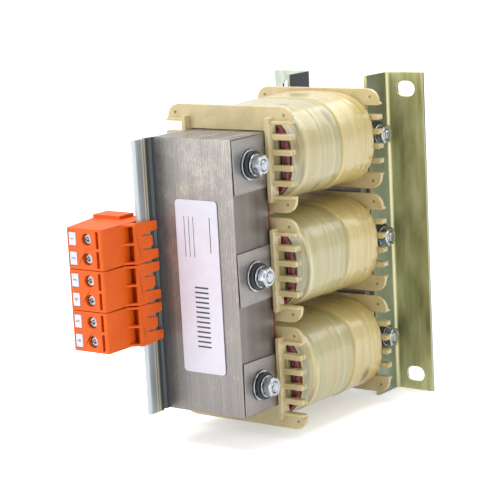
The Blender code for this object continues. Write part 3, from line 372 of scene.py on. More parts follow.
def pressboard(colours):
    """Red-brown pressboard: matt, fibrous edge, with a black painted shadow at its upper end under the
    bobbin flange.
    """
    finish, tree, shader, place = start_finish("red_pressboard", Roughness=0.8)
    # Fibres 0.3 mm wide
    fibres = pattern(tree, place, (500, 3000, 1500), 4.0)
    stops = tones(None, (0.3, "#5A1A14"), (0.6, "#8E2A20"), (0.8, "#A8483A"))
    ramp = add(tree, "ValToRGB", {0: fibres}, stops)
    upright = add(tree, "SeparateXYZ", {0: place}).outputs["Z"]
    # Painted shadow: the top 3 mm of the strip fade to black where the bobbin flange shades it
    top_shadow_painted = cover(tree, ramp, linear("#120E0D"), upright, CORE_TOP - 3 * MM, CORE_TOP - 1 * MM)
    feed(tree, shader, top_shadow_painted, None, (fibres, 0.05, 0.6))
    return finish


def bobbin_nylon(colours):
    """Natural glass-filled nylon: waxy ivory that light soaks into, with faint flow clouds and painted shade
    in the comb slots.
    """
    constants = {
        "Roughness": 0.38, "IOR": 1.53, "Coat_Weight": 0.45, "Coat_Roughness": 0.18,
        "Subsurface_Weight": 0.45, "Subsurface_Scale": 2.2 * MM, "Subsurface_Radius": (1.0, 0.72, 0.32),
    }
    finish, tree, shader, place = start_finish("natural_nylon", **constants)
    # Flow clouds 9 mm across, and glass fibre mottling of 0.6 mm
    clouds = pattern(tree, place, 110.0, Distortion=0.5)
    mottle = pattern(tree, place, 1600.0, 2.0)
    mixed = add(tree, "Mix", {0: 0.25, 2: clouds, 3: mottle})
    stops = tones(colours.nylon, (0.3, 0.82, (1.0, 0.96, 0.82)), (0.55, 0.96), (0.75, 1.02))
    ramp = add(tree, "ValToRGB", {0: mixed}, stops)
    # Painted shade: inside the comb slots, within 13 mm of a limb's middle, the panel is painted olive for
    # the shade it lies in
    parts = add(tree, "SeparateXYZ", {0: place}).outputs
    above = add(tree, "Math", {0: parts["Z"], 1: LOWEST_LIMB}, operation="SUBTRACT")
    off = add(tree, "Math", {0: above, 1: LIMB_WIDTH}, operation="PINGPONG")
    near = add(tree, "MapRange", {0: off, 1: 12.6 * MM, 2: 13.4 * MM, 3: 1.0, 4: 0.0})
    # Only the recessed panels, 3.2 to 6.4 mm inside the flanges' outer sides, are painted
    low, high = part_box("bobbin_1")
    half = (high.y - low.y) / 2
    shifted = add(tree, "Math", {0: parts["Y"], 1: low.y + half}, operation="SUBTRACT")
    far = add(tree, "Math", {0: shifted}, operation="ABSOLUTE")
    sunk = add(tree, "MapRange", {0: far, 1: half - 3.8 * MM, 2: half - 3.2 * MM, 3: 1.0, 4: 0.0})
    panel = add(tree, "Math", {0: far, 1: half - 6.4 * MM}, operation="GREATER_THAN")
    inside = add(tree, "Math", {0: sunk, 1: panel}, operation="MULTIPLY")
    behind = add(tree, "Math", {0: near, 1: inside}, operation="MULTIPLY")
    stain_and_shade = add(tree, "Mix", {0: behind, 6: ramp, 7: linear("#B3A976")}, data_type="RGBA")
    feed(tree, shader, stain_and_shade, (clouds, 0.3, 0.48), (mottle, 0.02, 0.35))
    return finish


def polyester_film(colours):
    """Polyester film and tape: glossy and milky, greenish in front and yellow behind, with spots, and
    painted shade and a painted bright rim at its front.
    """
    constants = {
        "Subsurface_Weight": 0.25, "Subsurface_Scale": 1.4 * MM, "Subsurface_Radius": (1.0, 0.85, 0.5),
        "Coat_Weight": 0.6, "Coat_Roughness": 0.12,
    }
    finish, tree, shader, place = start_finish("polyester_film", **constants)
    low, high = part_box("coil_wrap_1")
    base = colours.film
    # Place along the coil from 0 at the front to 1 at the back, a little wavy as hand-laid film is
    waves = pattern(tree, place, 21.0, 2.0)
    depth = add(tree, "SeparateXYZ", {0: place}).outputs["Y"]
    along = add(tree, "MapRange", {0: depth, 1: low.y, 2: high.y, 3: -0.1, 4: 0.9})
    wavy = add(tree, "Math", {0: waves, 1: 0.2, 2: along}, operation="MULTIPLY_ADD")
    green = shade(base, 0.95, (0.93, 1.0, 0.9))
    pale = shade(base, 1.22, (1.0, 1.0, 1.03))
    milk = shade(base, 1.08, (0.98, 1.0, 0.98))
    yellow = shade(base, 1.15, (1.09, 1.0, 0.74))
    gold = shade(base, 1.02, (1.13, 0.99, 0.62))
    inner = shade(base, 0.5, (0.95, 1.0, 0.86))
    # Painted shade and highlight: in front, the inner layer behind the combs is painted at half brightness
    # as shade, and the outer film's front edge is painted as a pale bright rim
    bands = (
        (0.0, inner, 1), (0.115, inner, 1.15), (0.135, inner, 1.3), (0.145, pale, 1), (0.165, pale, 1.2),
        (0.185, milk, 1), (0.23, green, 1), (0.29, milk, 1), (0.36, milk, 0.96), (0.42, milk, 1),
        (0.475, green, 1), (0.5, pale, 1), (0.515, green, 1), (0.6, green, 0.88), (0.612, gold, 1),
        (0.63, yellow, 1.1), (0.66, yellow, 1), (0.76, yellow, 1.05), (0.84, yellow, 1), (0.86, gold, 1),
        (0.875, yellow, 1.1), (0.92, gold, 1), (0.935, yellow, 1), (1.0, gold, 1),
    )
    stops = [(band_place, shade(tone, factor)) for band_place, tone, factor in bands]
    ramp = add(tree, "ValToRGB", {0: wavy}, stops)
    # Soft stains where varnish has run between the turns, 4 mm wide and 25 mm long round the coil
    stains = pattern(tree, place, (40, 250, 40))
    stain_and_shade = cover(tree, ramp, shade(base, 1.0, (1.1, 0.97, 0.62)), stains, 0.42, 0.66, most=0.7)
    # Fine turns of the layer below show through as pale and dark lines 1.2 mm apart round the coil
    turns = pattern(tree, place, (12, 430, 12), 4.0)
    turn_tone = add(tree, "MapRange", {0: turns, 1: 0.3, 2: 0.7, 3: 0.93, 4: 1.05})
    lined_inputs = {0: 1.0, 6: stain_and_shade, 7: turn_tone}
    lined = add(tree, "Mix", lined_inputs, data_type="RGBA", blend_type="MULTIPLY")
    # Burnt varnish spots, 3 mm wide and 6 mm high, one in about 40 mm
    spot_map = add(tree, "Mapping", {"Vector": place, "Scale": (30, 44, 20)})
    spots = add(tree, "TexVoronoi", {"Vector": spot_map, "Scale": 1.0, "Randomness": 1.0})
    spotted = cover(tree, lined, linear("#7E5E2E"), spots.outputs["Distance"], 0.09, 0.17, 0.75, 0.0)
    # Wrinkles 0.8 mm wide that run round the coil
    wrinkles = pattern(tree, place, (30, 900, 30))
    feed(tree, shader, spotted, (wrinkles, 0.2, 0.4), (wrinkles, 0.1, 0.4))
    return finish


def wire_enamel(colours):
    """Dark red enamelled copper: deep colour under a glossy skin, with a light line on every strand."""
    stops = tones(colours.enamel, (0.3, 0.6), (0.55, 1.1), (0.8, 1.9))
    constants = {"Metallic": 0.1, "Coat_Weight": 0.35, "Coat_Roughness": 0.12}
    scuffs = ({"scale": 700.0},)
    return plain_finish("red_wire_enamel", stops, scuffs, (0, 0.2, 0.34), (0, 0.01, 0.2), **constants)


def orange_polyamide(colours):
    """Orange polyamide: satin with a spark-eroded grain and faint clouds."""
    # Clouds of 12 mm, and mould grain 0.35 mm across
    patterns = ({"scale": 85.0}, {"scale": 2800.0})
    stops = tones(colours.orange, (0.3, 0.88, (1.0, 0.92, 0.8)), (0.5, 1.0), (0.72, 1.03, (1, 1.05, 1.2)))
    constants = {"Specular_IOR_Level": 0.34, "IOR": 1.53}
    return plain_finish(
        "orange_polyamide", stops, patterns, (0, 0.42, 0.56), (1, 0.02, 0.25), 0.35, **constants
    )


def black_nylon(colours):
    """Black nylon washer: dark blue-grey sheen on a fine moulded grain."""
    stops = tones(None, (0.3, "#0C0C12"), (0.6, "#181822"), (0.85, "#2C2C38"))
    return plain_finish("black_nylon", stops, ({"scale": 1800.0},), (0, 0.3, 0.5), (0, 0.03, 0.4), IOR=1.53)


def gate_mark(colours):
    """Sprue and ejector spots on the nylon: small, brownish and matt against the waxy moulding."""
    stops = tones(None, (0.3, "#7C6A3C"), (0.6, "#988552"), (0.85, "#B8A672"))
    constants = {"Subsurface_Weight": 0.2, "Subsurface_Scale": 1.0 * MM}
    burn = ({"scale": 1200.0},)
    return plain_finish("nylon_gate_mark", stops, burn, (0, 0.5, 0.7), (0, 0.05, 0.5), **constants)


def label_film(colours):
    """White label stock: smooth satin film with faint waves and edge dust."""
    waves, dust = {"scale": 130.0, "detail": 2.0}, {"scale": 1400.0, "detail": 4.0, "Roughness": 0.7}
    stops = tones(colours.label, (0.3, 0.93), (0.55, 1.0), (0.8, 1.03))
    constants = {"Coat_Weight": 0.15, "Coat_Roughness": 0.2}
    return plain_finish(
        "white_label_film", stops, (waves, dust), (1, 0.36, 0.52), (0, 0.05, 0.3), 0.4, **constants
    )


def printing_ink(colours):
    """Thermal print: dark grey, matt and slightly uneven."""
    stops = tones(None, (0.3, "#33323A"), (0.6, "#45444D"), (0.85, "#77757F"))
    wear = ({"scale": 2500.0, "detail": 4.0},)
    return plain_finish("printing_ink", stops, wear, None, (0, 0.01, 0.3), Roughness=0.6)


MADE = {}


def finish_of(make):
    """The material that a finish function makes, kept after its first use."""
    if make not in MADE:
        MADE[make] = make(bpy.context.scene.reactor_colours)
    return MADE[make]


def new_tree(name, sockets):
    """Geometry node tree with named inputs; returns the tree, its input sockets and its output node."""
    tree = bpy.data.node_groups.new(name, "GeometryNodeTree")
    tree.interface.new_socket("Geometry", in_out="OUTPUT", socket_type="NodeSocketGeometry")
    for label, kind in {"Geometry": "Geometry", **sockets, "Material": "Material"}.items():
        tree.interface.new_socket(label, in_out="INPUT", socket_type=f"NodeSocket{kind}")
    return tree, add(tree, "NodeGroupInput").outputs, add(tree, "NodeGroupOutput")


def end_tree(tree, geometry, given, result):
    """End a tree with plain geometry in the given material."""
    solid = add(tree, "GeometryNodeRealizeInstances", {"Geometry": geometry})
    painted = add(tree, "GeometryNodeSetMaterial", {"Geometry": solid, "Material": given["Material"]})
    tree.links.new(painted.outputs[0], result.inputs[0])
    return tree


def run_tree(name, mesh, tree, values):
    """Object whose plain mesh is what a node tree makes of a mesh."""
    piece = link_object(name, mesh)
    modifier = piece.modifiers.new(tree.name, "NODES")
    modifier.node_group = tree
    for item in tree.interface.items_tree:
        if item.item_type == "SOCKET" and item.in_out == "INPUT" and item.name in values:
            modifier[item.identifier] = values[item.name]
    return bake(piece)


def evaluated_mesh(piece):
    """Plain mesh of what an object's modifiers or curves make."""
    depsgraph = bpy.context.evaluated_depsgraph_get()
    return bpy.data.meshes.new_from_object(piece.evaluated_get(depsgraph))


def bake(piece):
    """Turn what an object's modifiers make into its own plain mesh."""
    data = evaluated_mesh(piece)
    piece.modifiers.clear()
    piece.data = data
    return piece


def mesh_data(name, mesh):
    """Mesh data from a bmesh, which is used up."""
    data = bpy.data.meshes.new(name)
    mesh.to_mesh(data)
    mesh.free()
    return data


def link_object(name, source):
    """Object in the scene for a bmesh, or for the data of a mesh, a curve, a lamp or a camera."""
    data = mesh_data(name, source) if isinstance(source, bmesh.types.BMesh) else source
    piece = bpy.data.objects.new(name, data)
    bpy.context.scene.collection.objects.link(piece)
    return piece


def settle(piece, nodes, finish=None):
    """Give a piece its body and the solids that it stands for."""
    if finish is not None:
        piece.data.materials.clear()
        piece.data.materials.append(finish_of(finish))
    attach(piece, "root")
    if nodes:
        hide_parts(*nodes)
    return piece


def numbered(stem, count=3):
    """Names of like solids."""
    return [f"{stem}_{number}" for number in range(1, count + 1)]


def merged_copy(node):
    """A solid's mesh with its loose triangles merged into clean flat faces."""
    mesh = bmesh.new()
    mesh.from_mesh(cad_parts[node].data)
    bmesh.ops.remove_doubles(mesh, verts=mesh.verts, dist=WELD)
    bmesh.ops.recalc_face_normals(mesh, faces=mesh.faces)
    return mesh


def even_normals(piece, degrees=50):
    """Shade flat areas flat and let the rounded edges between them blend."""
    mesh = bmesh.new()
    mesh.from_mesh(piece.data)
    area_of = [-1] * len(mesh.faces)
    sizes, directions = [], []
    for face in mesh.faces:
        if area_of[face.index] >= 0:
            continue
        area_of[face.index] = len(sizes)
        pile, total = [face], 0.0
        while pile:
            item = pile.pop()
            total += item.calc_area()
            for edge in item.edges:
                for other in edge.link_faces:
                    if area_of[other.index] < 0 and other.normal.dot(face.normal) > FLAT:
                        area_of[other.index] = len(sizes)
                        pile.append(other)
        sizes.append(total)
        directions.append(face.normal.copy())
    limit = math.cos(math.radians(degrees))
    normals = []
    for face in mesh.faces:
        own = directions[area_of[face.index]]
        for loop in face.loops:
            blend = Vector()
            for area in {area_of[near.index] for near in loop.vert.link_faces}:
                if directions[area].dot(own) > limit:
                    blend += directions[area] * sizes[area]
            normals.append(blend.normalized() if blend.length > 0 else own)
    mesh.free()
    piece.data.normals_split_custom_set(normals)
    return piece


def softened(name, node, width):
    """Copy of a solid with its sharp edges rounded."""
    mesh = merged_copy(node)
    for face in mesh.faces:
        face.smooth = True
    piece = link_object(name, mesh)
    bevel = piece.modifiers.new("edges", "BEVEL")
    bevel.width = width
    bevel.segments = 2
    bevel.limit_method = "ANGLE"
    bevel.angle_limit = math.radians(27)
    bevel.use_clamp_overlap = False
    return even_normals(bake(piece))


def dressed(name, node, width, finish):
    """Softened copy of one solid, in its finish and in the solid's place."""
    return settle(softened(name, node, width), [node], finish)


def sheet_stack_tree():
    """Tree that stacks sheets along X, each a little out of line and with its own tone."""
    sockets = {"Sheets": "Int", "Pitch": "Float", "Scatter": "Float", "Start": "Vector", "Seed": "Int"}
    tree, given, result = new_tree("sheet_stack", sockets)
    step = add(tree, "CombineXYZ", {"X": given["Pitch"]})
    line_inputs = {"Count": given["Sheets"], "Start Location": given["Start"], "Offset": step}
    line = add(tree, "GeometryNodeMeshLine", line_inputs, mode="OFFSET")
    placed = add(tree, "GeometryNodeInstanceOnPoints", {"Points": line, "Instance": given["Geometry"]})
    back = add(tree, "Math", {0: given["Scatter"], 1: -1.0}, operation="MULTIPLY")
    low = add(tree, "CombineXYZ", {"Y": back, "Z": back})
    high = add(tree, "CombineXYZ", {"Y": given["Scatter"], "Z": given["Scatter"]})
    shift_inputs = {"Min": low, "Max": high, "Seed": given["Seed"]}
    shift = add(tree, "FunctionNodeRandomValue", shift_inputs, data_type="FLOAT_VECTOR")
    moved = add(tree, "GeometryNodeTranslateInstances", {"Instances": placed, "Translation": shift})
    tone = add(tree, "FunctionNodeRandomValue", {"Seed": given["Seed"]}, data_type="FLOAT")
    stored_inputs = {"Geometry": moved, "Name": "sheet_tone", "Value": tone}
    stored = add(
        tree, "GeometryNodeStoreNamedAttribute", stored_inputs, data_type="FLOAT", domain="INSTANCE"
    )
    return end_tree(tree, stored, given, result)


def placing_tree():
    """Tree that sets one piece on every point, each turned about the X axis by chance."""
    tree, given, result = new_tree("pieces_on_places", {"Piece": "Object", "Turn": "Float", "Seed": "Int"})
    piece = add(tree, "GeometryNodeObjectInfo", {"Object": given["Piece"]}).outputs["Geometry"]
    most = add(tree, "CombineXYZ", {"X": given["Turn"]})
    turn_inputs = {"Min": (0.0, 0.0, 0.0), "Max": most, "Seed": given["Seed"]}
    turn = add(tree, "FunctionNodeRandomValue", turn_inputs, data_type="FLOAT_VECTOR")
    placed_inputs = {"Points": given["Geometry"], "Instance": piece, "Rotation": turn}
    placed = add(tree, "GeometryNodeInstanceOnPoints", placed_inputs)
    return end_tree(tree, placed, given, result)


def wire_tree():
    """Tree that draws round wire along every edge loop."""
    tree, given, result = new_tree("round_wire", {"Radius": "Float", "Sides": "Int"})
    paths = add(tree, "GeometryNodeMeshToCurve", {"Mesh": given["Geometry"]})
    ring_inputs = {"Resolution": given["Sides"], "Radius": given["Radius"]}
    ring = add(tree, "GeometryNodeCurvePrimitiveCircle", ring_inputs)
    drawn = add(tree, "GeometryNodeCurveToMesh", {"Curve": paths, "Profile Curve": ring})
    smooth = add(tree, "GeometryNodeSetShadeSmooth", {"Geometry": drawn})
    return end_tree(tree, smooth, given, result)


def lathe(profile, segments, outline=None):
    """Closed turned body along X from (x, radius) points; outline can cut a radius down by angle."""
    mesh = bmesh.new()
    rings = []
    for x, radius in profile:
        if radius <= 0:
            rings.append([mesh.verts.new((x, 0.0, 0.0))])
            continue
        ring = []
        for step in range(segments):
            angle = 2 * math.pi * step / segments
            reach = radius if outline is None else min(radius, outline(angle))
            ring.append(mesh.verts.new((x, reach * math.cos(angle), reach * math.sin(angle))))
        rings.append(ring)
    for first, second in zip(rings, rings[1:]):
        for step in range(segments):
            after = (step + 1) % segments
            if len(first) == 1:
                mesh.faces.new((first[0], second[after], second[step]))
            elif len(second) == 1:
                mesh.faces.new((first[step], first[after], second[0]))
            else:
                mesh.faces.new((first[step], first[after], second[after], second[step]))
    bmesh.ops.recalc_face_normals(mesh, faces=mesh.faces)
    return mesh


def shade_by_angle(piece, degrees):
    """Smooth a piece and keep edges sharper than an angle crisp."""
    piece.data.shade_smooth()
    piece.data.set_sharp_from_angle(angle=math.radians(degrees))
    return piece


def turned(name, profile, segments, degrees, outline=None):
    """Turned piece whose seams are merged and whose sharp edges stay crisp."""
    mesh = lathe(profile, segments, outline)
    bmesh.ops.remove_doubles(mesh, verts=mesh.verts, dist=SEAM)
    return shade_by_angle(link_object(name, mesh), degrees)


def hexagon(across):
    """Function from a direction to a hexagon's edge distance."""
    sector = math.pi / 3
    return lambda angle: across / 2 / math.cos((angle + sector / 2) % sector - sector / 2)


def half_sizes(node):
    """Centre and half sizes of a solid's box."""
    low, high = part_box(node)
    return (low + high) / 2, (high - low) / 2


def seats(nodes, axis=0):
    """Where like pieces start: the middle of each solid's box, at its lower end along an axis."""
    places = []
    for node in nodes:
        low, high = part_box(node)
        place = (low + high) / 2
        place[axis] = low[axis]
        places.append(place)
    return places


def on_places(name, shape, places, turn, finish, nodes, seed=3):
    """Set copies of a shape on places, as one piece."""
    points = bmesh.new()
    for place in places:
        points.verts.new(place)
    values = {"Piece": shape, "Turn": turn, "Seed": seed, "Material": finish_of(finish)}
    piece = run_tree(name, points, placing_tree(), values)
    bpy.data.objects.remove(shape)
    return settle(piece, nodes)


def slab(mesh, low, high):
    """Add a plain block to a mesh between two corners."""
    made = bmesh.ops.create_cube(mesh, size=1.0)["verts"]
    bmesh.ops.scale(mesh, vec=Vector(high) - Vector(low), verts=made)
    bmesh.ops.translate(mesh, vec=(Vector(high) + Vector(low)) / 2, verts=made)


def coil_ring(half_width, half_height, squareness, points):
    """Loop round a limb in the X-Z plane: straight above and below, bulging at the ends."""
    loop = []
    power = 2 / squareness
    for step in range(points):
        angle = 2 * math.pi * step / points
        cosine, sine = math.cos(angle), math.sin(angle)
        bulge = (half_width - COIL_STRAIGHT) * abs(cosine) ** power
        x = math.copysign(bulge + COIL_STRAIGHT * abs(cosine) ** 0.25, cosine)
        loop.append((x, math.copysign(half_height * abs(sine) ** power, sine)))
    return loop


def add_figure(mesh, text, place, size):
    """Add a plain printed figure to a mesh, facing -Y and reading upwards."""
    letters = bpy.data.curves.new("figure", "FONT")
    letters.body = text
    letters.size = size
    letters.extrude = 0.02 * MM
    letters.align_x = "CENTER"
    letters.align_y = "CENTER"
    holder = link_object("figure", letters)
    data = evaluated_mesh(holder)
    upright = Matrix.Rotation(math.pi / 2, 4, "X") @ Matrix.Rotation(math.pi / 2, 4, "Z")
    data.transform(Matrix.Translation(place) @ upright)
    mesh.from_mesh(data)
    bpy.data.meshes.remove(data)
    bpy.data.objects.remove(holder)
    bpy.data.curves.remove(letters)


class REACTOR_OT_core(bpy.types.Operator):
    """Stack the core's laminations and lay in the gap strip"""

    bl_idname = "reactor.core"
    bl_label = "Laminated core"

    def execute(self, context):
        sizes = context.scene.reactor_sizes
        tree = sheet_stack_tree()
        count = round(2 * HALF_STACK / sizes.sheet)
        # A sheet fills 97 per cent of its pitch, and a dark line of air is left between two
        squeeze = sizes.sheet * 0.97 / (2 * HALF_STACK)
        for seed, node in enumerate(("front_yoke", "e_core_stack")):
            sheet = merged_copy(node)
            for vert in sheet.verts:
                vert.co.x = (vert.co.x - CORE.x) * squeeze
            values = {
                "Sheets": count, "Pitch": sizes.sheet, "Scatter": sizes.sheet_scatter, "Seed": seed,
                "Start": (CORE.x - HALF_STACK + sizes.sheet / 2, 0.0, 0.0),
                "Material": finish_of(electrical_steel),
            }
            settle(run_tree(f"{node}_laminations", sheet, tree, values), [node])
        dressed("gap_strip", "air_gap_strip", 0.1 * MM, pressboard)
        return {"FINISHED"}


class REACTOR_OT_bobbins(bpy.types.Operator):
    """Mould the three comb-flanged bobbins with their ejector marks"""

    bl_idname = "reactor.bobbins"
    bl_label = "Bobbins"

    # Distance of a mark from a flange's outer edges, and its outline as (depth, radius) in millimetres
    mark_x, mark_z = 5.6 * MM, 4.6 * MM
    mark_profile = ((0.0, 0.0), (0.0, 0.85), (0.1, 0.75), (0.1, 0.5), (0.02, 0.4), (0.02, 0.0))

    def execute(self, context):
        width = context.scene.reactor_sizes.moulded_edge
        places = []
        for node in numbered("bobbin"):
            dressed(f"{node}_moulding", node, width, bobbin_nylon)
            places += self.mark_places(node)
        mark = lathe([(depth * MM, radius * MM) for depth, radius in self.mark_profile], 16)
        turn = Matrix.Rotation(-math.pi / 2, 3, "Z")
        bmesh.ops.rotate(mark, cent=(0, 0, 0), matrix=turn, verts=mark.verts)
        shape = link_object("gate_marks_shape", mark)
        on_places("gate_marks", shape, places, 0.0, gate_mark, [])
        return {"FINISHED"}

    def mark_places(self, node):
        """Points on the front panel's outer side and on the back panel's inner side."""
        low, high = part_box(node)
        solid = merged_copy(node)
        walls = BVHTree.FromBMesh(solid)
        solid.free()
        places = []
        for x in (high.x - self.mark_x, low.x + self.mark_x):
            for z in (high.z - self.mark_z, low.z + self.mark_z):
                for start in (low.y - MM, (low.y + high.y) / 2):
                    hit = walls.ray_cast(Vector((x, start, z)), Vector((0.0, 1.0, 0.0)))[0]
                    if hit is None:
                        raise RuntimeError(f"{node} has no panel for a mark")
                    places.append(hit)
        return places


class REACTOR_OT_windings(bpy.types.Operator):
    """Wind the outer turns of enamelled wire that show through the combs"""

    bl_idname = "reactor.windings"
    bl_label = "Windings"

    layers = 4
    deep = 2
    # The bundle lies a little inside the solid's outline, and its inner layer is the squarest
    inset = 0.6 * MM
    inner_width = HALF_STACK + 6.9 * MM
    inner_height = LIMB_WIDTH / 2 + 2.9 * MM
    inner_square, outer_square = 5.0, 2.5

    def execute(self, context):
        wire = context.scene.reactor_sizes.wire
        tree = wire_tree()
        for node in numbered("winding"):
            low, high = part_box(node)
            centre, half = half_sizes(node)
            paths = bmesh.new()
            for layer in range(self.layers):
                share = (layer + 0.75) / self.layers
                width = self.inner_width + (half.x - self.inset - self.inner_width) * share - wire * 0.1
                height = self.inner_height + (half.z - self.inner_height) * share - wire * 0.1
                square = self.inner_square + (self.outer_square - self.inner_square) * share
                ring = coil_ring(width, height, square, 72)
                for turn in range(self.deep):
                    for end, sign in ((low.y, 1), (high.y, -1)):
                        y = end + sign * wire * (0.5 + turn + 0.2 * (layer % 2))
                        verts = [paths.verts.new((centre.x + x, y, centre.z + z)) for x, z in ring]
                        for first, second in zip(verts, verts[1:] + verts[:1]):
                            paths.edges.new((first, second))
            values = {"Radius": wire / 2, "Sides": 8, "Material": finish_of(wire_enamel)}
            settle(run_tree(f"{node}_turns", paths, tree, values), [node])
        return {"FINISHED"}


class REACTOR_OT_coil_wraps(bpy.types.Operator):
    """Lay the overlapping polyester film round the three coils"""

    bl_idname = "reactor.coil_wraps"
    bl_label = "Coil wraps"

    # Where a film's edge lies along the coil, and how many film steps the surface rises there
    edges = (0.15, 0.21, 0.38, 0.44, 0.61, 0.66, 0.85, 0.91)
    rises = (3.0, 0.4, 0.7, 0.4, 2.1, -0.4, 0.7, 1.1)
    rings = 110
    points = 112
    film = 0.9 * MM
    # Width of an edge's slope, length of the rounding at the back end, and height of the wrinkles
    slope, round_off, wrinkle = 0.35 * MM, 2.4 * MM, 0.24 * MM

    def execute(self, context):
        film_step = context.scene.reactor_sizes.film_step
        base = sum(self.rises) * film_step
        for number, node in enumerate(numbered("coil_wrap"), 1):
            low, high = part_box(node)
            centre, half = half_sizes(node)
            length = high.y - low.y
            outline = coil_ring(half.x - base, half.z - base, FILM_SQUARENESS, self.points)
            inner = coil_ring(
                half.x - base - self.film, half.z - base - self.film, FILM_SQUARENESS, self.points
            )
            loops = [[(centre.x + x, low.y, centre.z + z) for x, z in inner]]
            for station in [ring / self.rings for ring in range(self.rings + 1)]:
                loop = []
                for step, (x, z) in enumerate(outline):
                    angle = 2 * math.pi * step / self.points
                    lean = 0.026 * math.sin(angle + 1.3 * number) + 0.009 * math.sin(3 * angle + number)
                    rise = 0.0
                    for edge, height in zip(self.edges, self.rises):
                        reach = (station + lean - edge) * length / self.slope
                        rise += height * film_step * min(1.0, max(0.0, 0.5 + reach))
                    rounding = self.film * max(0.0, 1 - (1 - station) * length / self.round_off) ** 2
                    wave = noise.noise(Vector((x * 60, station * 5 + 7 * number, z * 60))) * self.wrinkle
                    grown = Vector((x, 0.0, z))
                    grown += grown.normalized() * (rise + wave - rounding)
                    loop.append((centre.x + grown.x, low.y + station * length, centre.z + grown.z))
                loops.append(loop)
            loops.append([(centre.x + x, high.y, centre.z + z) for x, z in inner])
            mesh = bmesh.new()
            rings = [[mesh.verts.new(point) for point in loop] for loop in loops]
            for first, second in zip(rings, rings[1:] + rings[:1]):
                for step in range(self.points):
                    after = (step + 1) % self.points
                    mesh.faces.new((first[step], first[after], second[after], second[step]))
            bmesh.ops.recalc_face_normals(mesh, faces=mesh.faces)
            piece = shade_by_angle(link_object(f"{node}_film", mesh), 55)
            settle(piece, [node], polyester_film)
        return {"FINISHED"}


class REACTOR_OT_fasteners(bpy.types.Operator):
    """Make the clamping bolts with their nuts and washers"""

    bl_idname = "reactor.fasteners"
    bl_label = "Bolts, nuts and washers"

    # Height of a bolt's head, its embossed middle as (x, radius) in millimetres, and the turns of its thread
    head = 4.0 * MM
    boss = ((0.0, 0.0), (0.0, 3.4), (0.15, 3.7), (0.0, 3.9), (0.0, 4.7))
    threads = 9

    def execute(self, context):
        for row in ("front", "back"):
            self.make_washers(row)
            self.make_nuts(row)
            self.make_bolts(row, context.scene.reactor_sizes.thread_pitch)
        return {"FINISHED"}

    def make_washers(self, row):
        """Washers of one row, with their rims rounded off; only the front row has large ones."""
        kinds = ["insulating_washer", "washer"] + (["large_washer"] if row == "front" else [])
        for kind in kinds:
            nodes = numbered(f"{row}_{kind}")
            half = half_sizes(nodes[0])[1]
            thick, radius = 2 * half.x, half.z
            if kind == "large_washer":
                radius *= LARGE_WASHER_SHARE
            soft = min(0.35 * MM, thick * 0.3)
            profile = [(0.0, WASHER_BORE), (0.0, radius - soft), (soft * 0.3, radius - soft * 0.3)]
            profile += [(soft, radius), (thick - soft, radius), (thick - soft * 0.3, radius - soft * 0.3)]
            profile += [(thick, radius - soft), (thick, WASHER_BORE), (0.0, WASHER_BORE)]
            plastic = kind == "insulating_washer"
            finish, slot = (black_nylon, "black_plastic") if plastic else (zinc_plating, "zinc_plated_steel")
            shape = turned(f"{row}_{kind}_shape", profile, 56, 35)
            on_places(f"{row}_{kind}s", shape, seats(nodes), 0.0, finish, nodes)

    def make_nuts(self, row):
        """Hexagon nuts of one row, chamfered at the side that shows."""
        nodes = numbered(f"{row}_nut")
        low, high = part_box(nodes[0])
        height = high.x - low.x
        profile = ((0.0, NUT_BORE), (0.0, 4.8 * MM), (0.5 * MM, CORNER_RADIUS))
        profile += ((height - 0.62 * MM, CORNER_RADIUS), (height, 4.55 * MM), (height, 3.6 * MM))
        profile += ((height - 0.7 * MM, NUT_BORE), (0.0, NUT_BORE))
        shape = turned(f"{row}_nut_shape", profile, 72, 18, hexagon(ACROSS_FLATS))
        on_places(f"{row}_nuts", shape, seats(nodes), 1.0, zinc_plating, nodes, 11)

    def make_bolts(self, row, pitch):
        """Hexagon bolts of one row, threaded where they leave the nuts."""
        nodes = numbered(f"{row}_bolt")
        low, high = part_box(nodes[0])
        length = high.x - low.x
        profile = [(x * MM, radius * MM) for x, radius in self.boss]
        profile += [(0.5 * MM, CORNER_RADIUS), (self.head - 0.25 * MM, CORNER_RADIUS)]
        profile += [(self.head, 5.3 * MM), (self.head, THREAD_CREST)]
        for turn in range(self.threads, 0, -1):
            x = length - turn * pitch
            crest = THREAD_CREST if turn > 1 else THREAD_CREST - 0.3 * MM
            profile += [(x, THREAD_ROOT), (x + pitch / 2, crest)]
        profile += [(length - 0.15 * MM, THREAD_ROOT), (length, THREAD_ROOT - 0.4 * MM), (length, 0.0)]
        shape = turned(f"{row}_bolt_shape", profile, 72, 18, hexagon(ACROSS_FLATS))
        on_places(f"{row}_bolts", shape, seats(nodes), 1.0, zinc_plating, nodes, 5)


class REACTOR_OT_pressure_plates(bpy.types.Operator):
    """Cut the loose square plates under the front nuts"""

    bl_idname = "reactor.pressure_plates"
    bl_label = "Pressure plates"

    def execute(self, context):
        width = context.scene.reactor_sizes.sheared_edge
        for node in numbered("pressure_plate"):
            dressed(f"{node}_sheet", node, width, bare_steel)
        return {"FINISHED"}


class REACTOR_OT_mounting_angles(bpy.types.Operator):
    """Bend the two chromated mounting angles"""

    bl_idname = "reactor.mounting_angles"
    bl_label = "Mounting angles"

    def execute(self, context):
        width = context.scene.reactor_sizes.sheared_edge
        pieces = [
            dressed(f"{node}_sheet", node, width, yellow_chromate)
            for node in ("right_mounting_angle", "left_mounting_angle")
        ]
        # Painted shade: the far angle's inner side is painted blue-black for its shade and the dark it
        # reflects
        far = pieces[1].data
        far.materials.append(finish_of(dark_passivation))
        for face in far.polygons:
            face.material_index = 1 if face.normal.x > 0.9 else 0
        return {"FINISHED"}


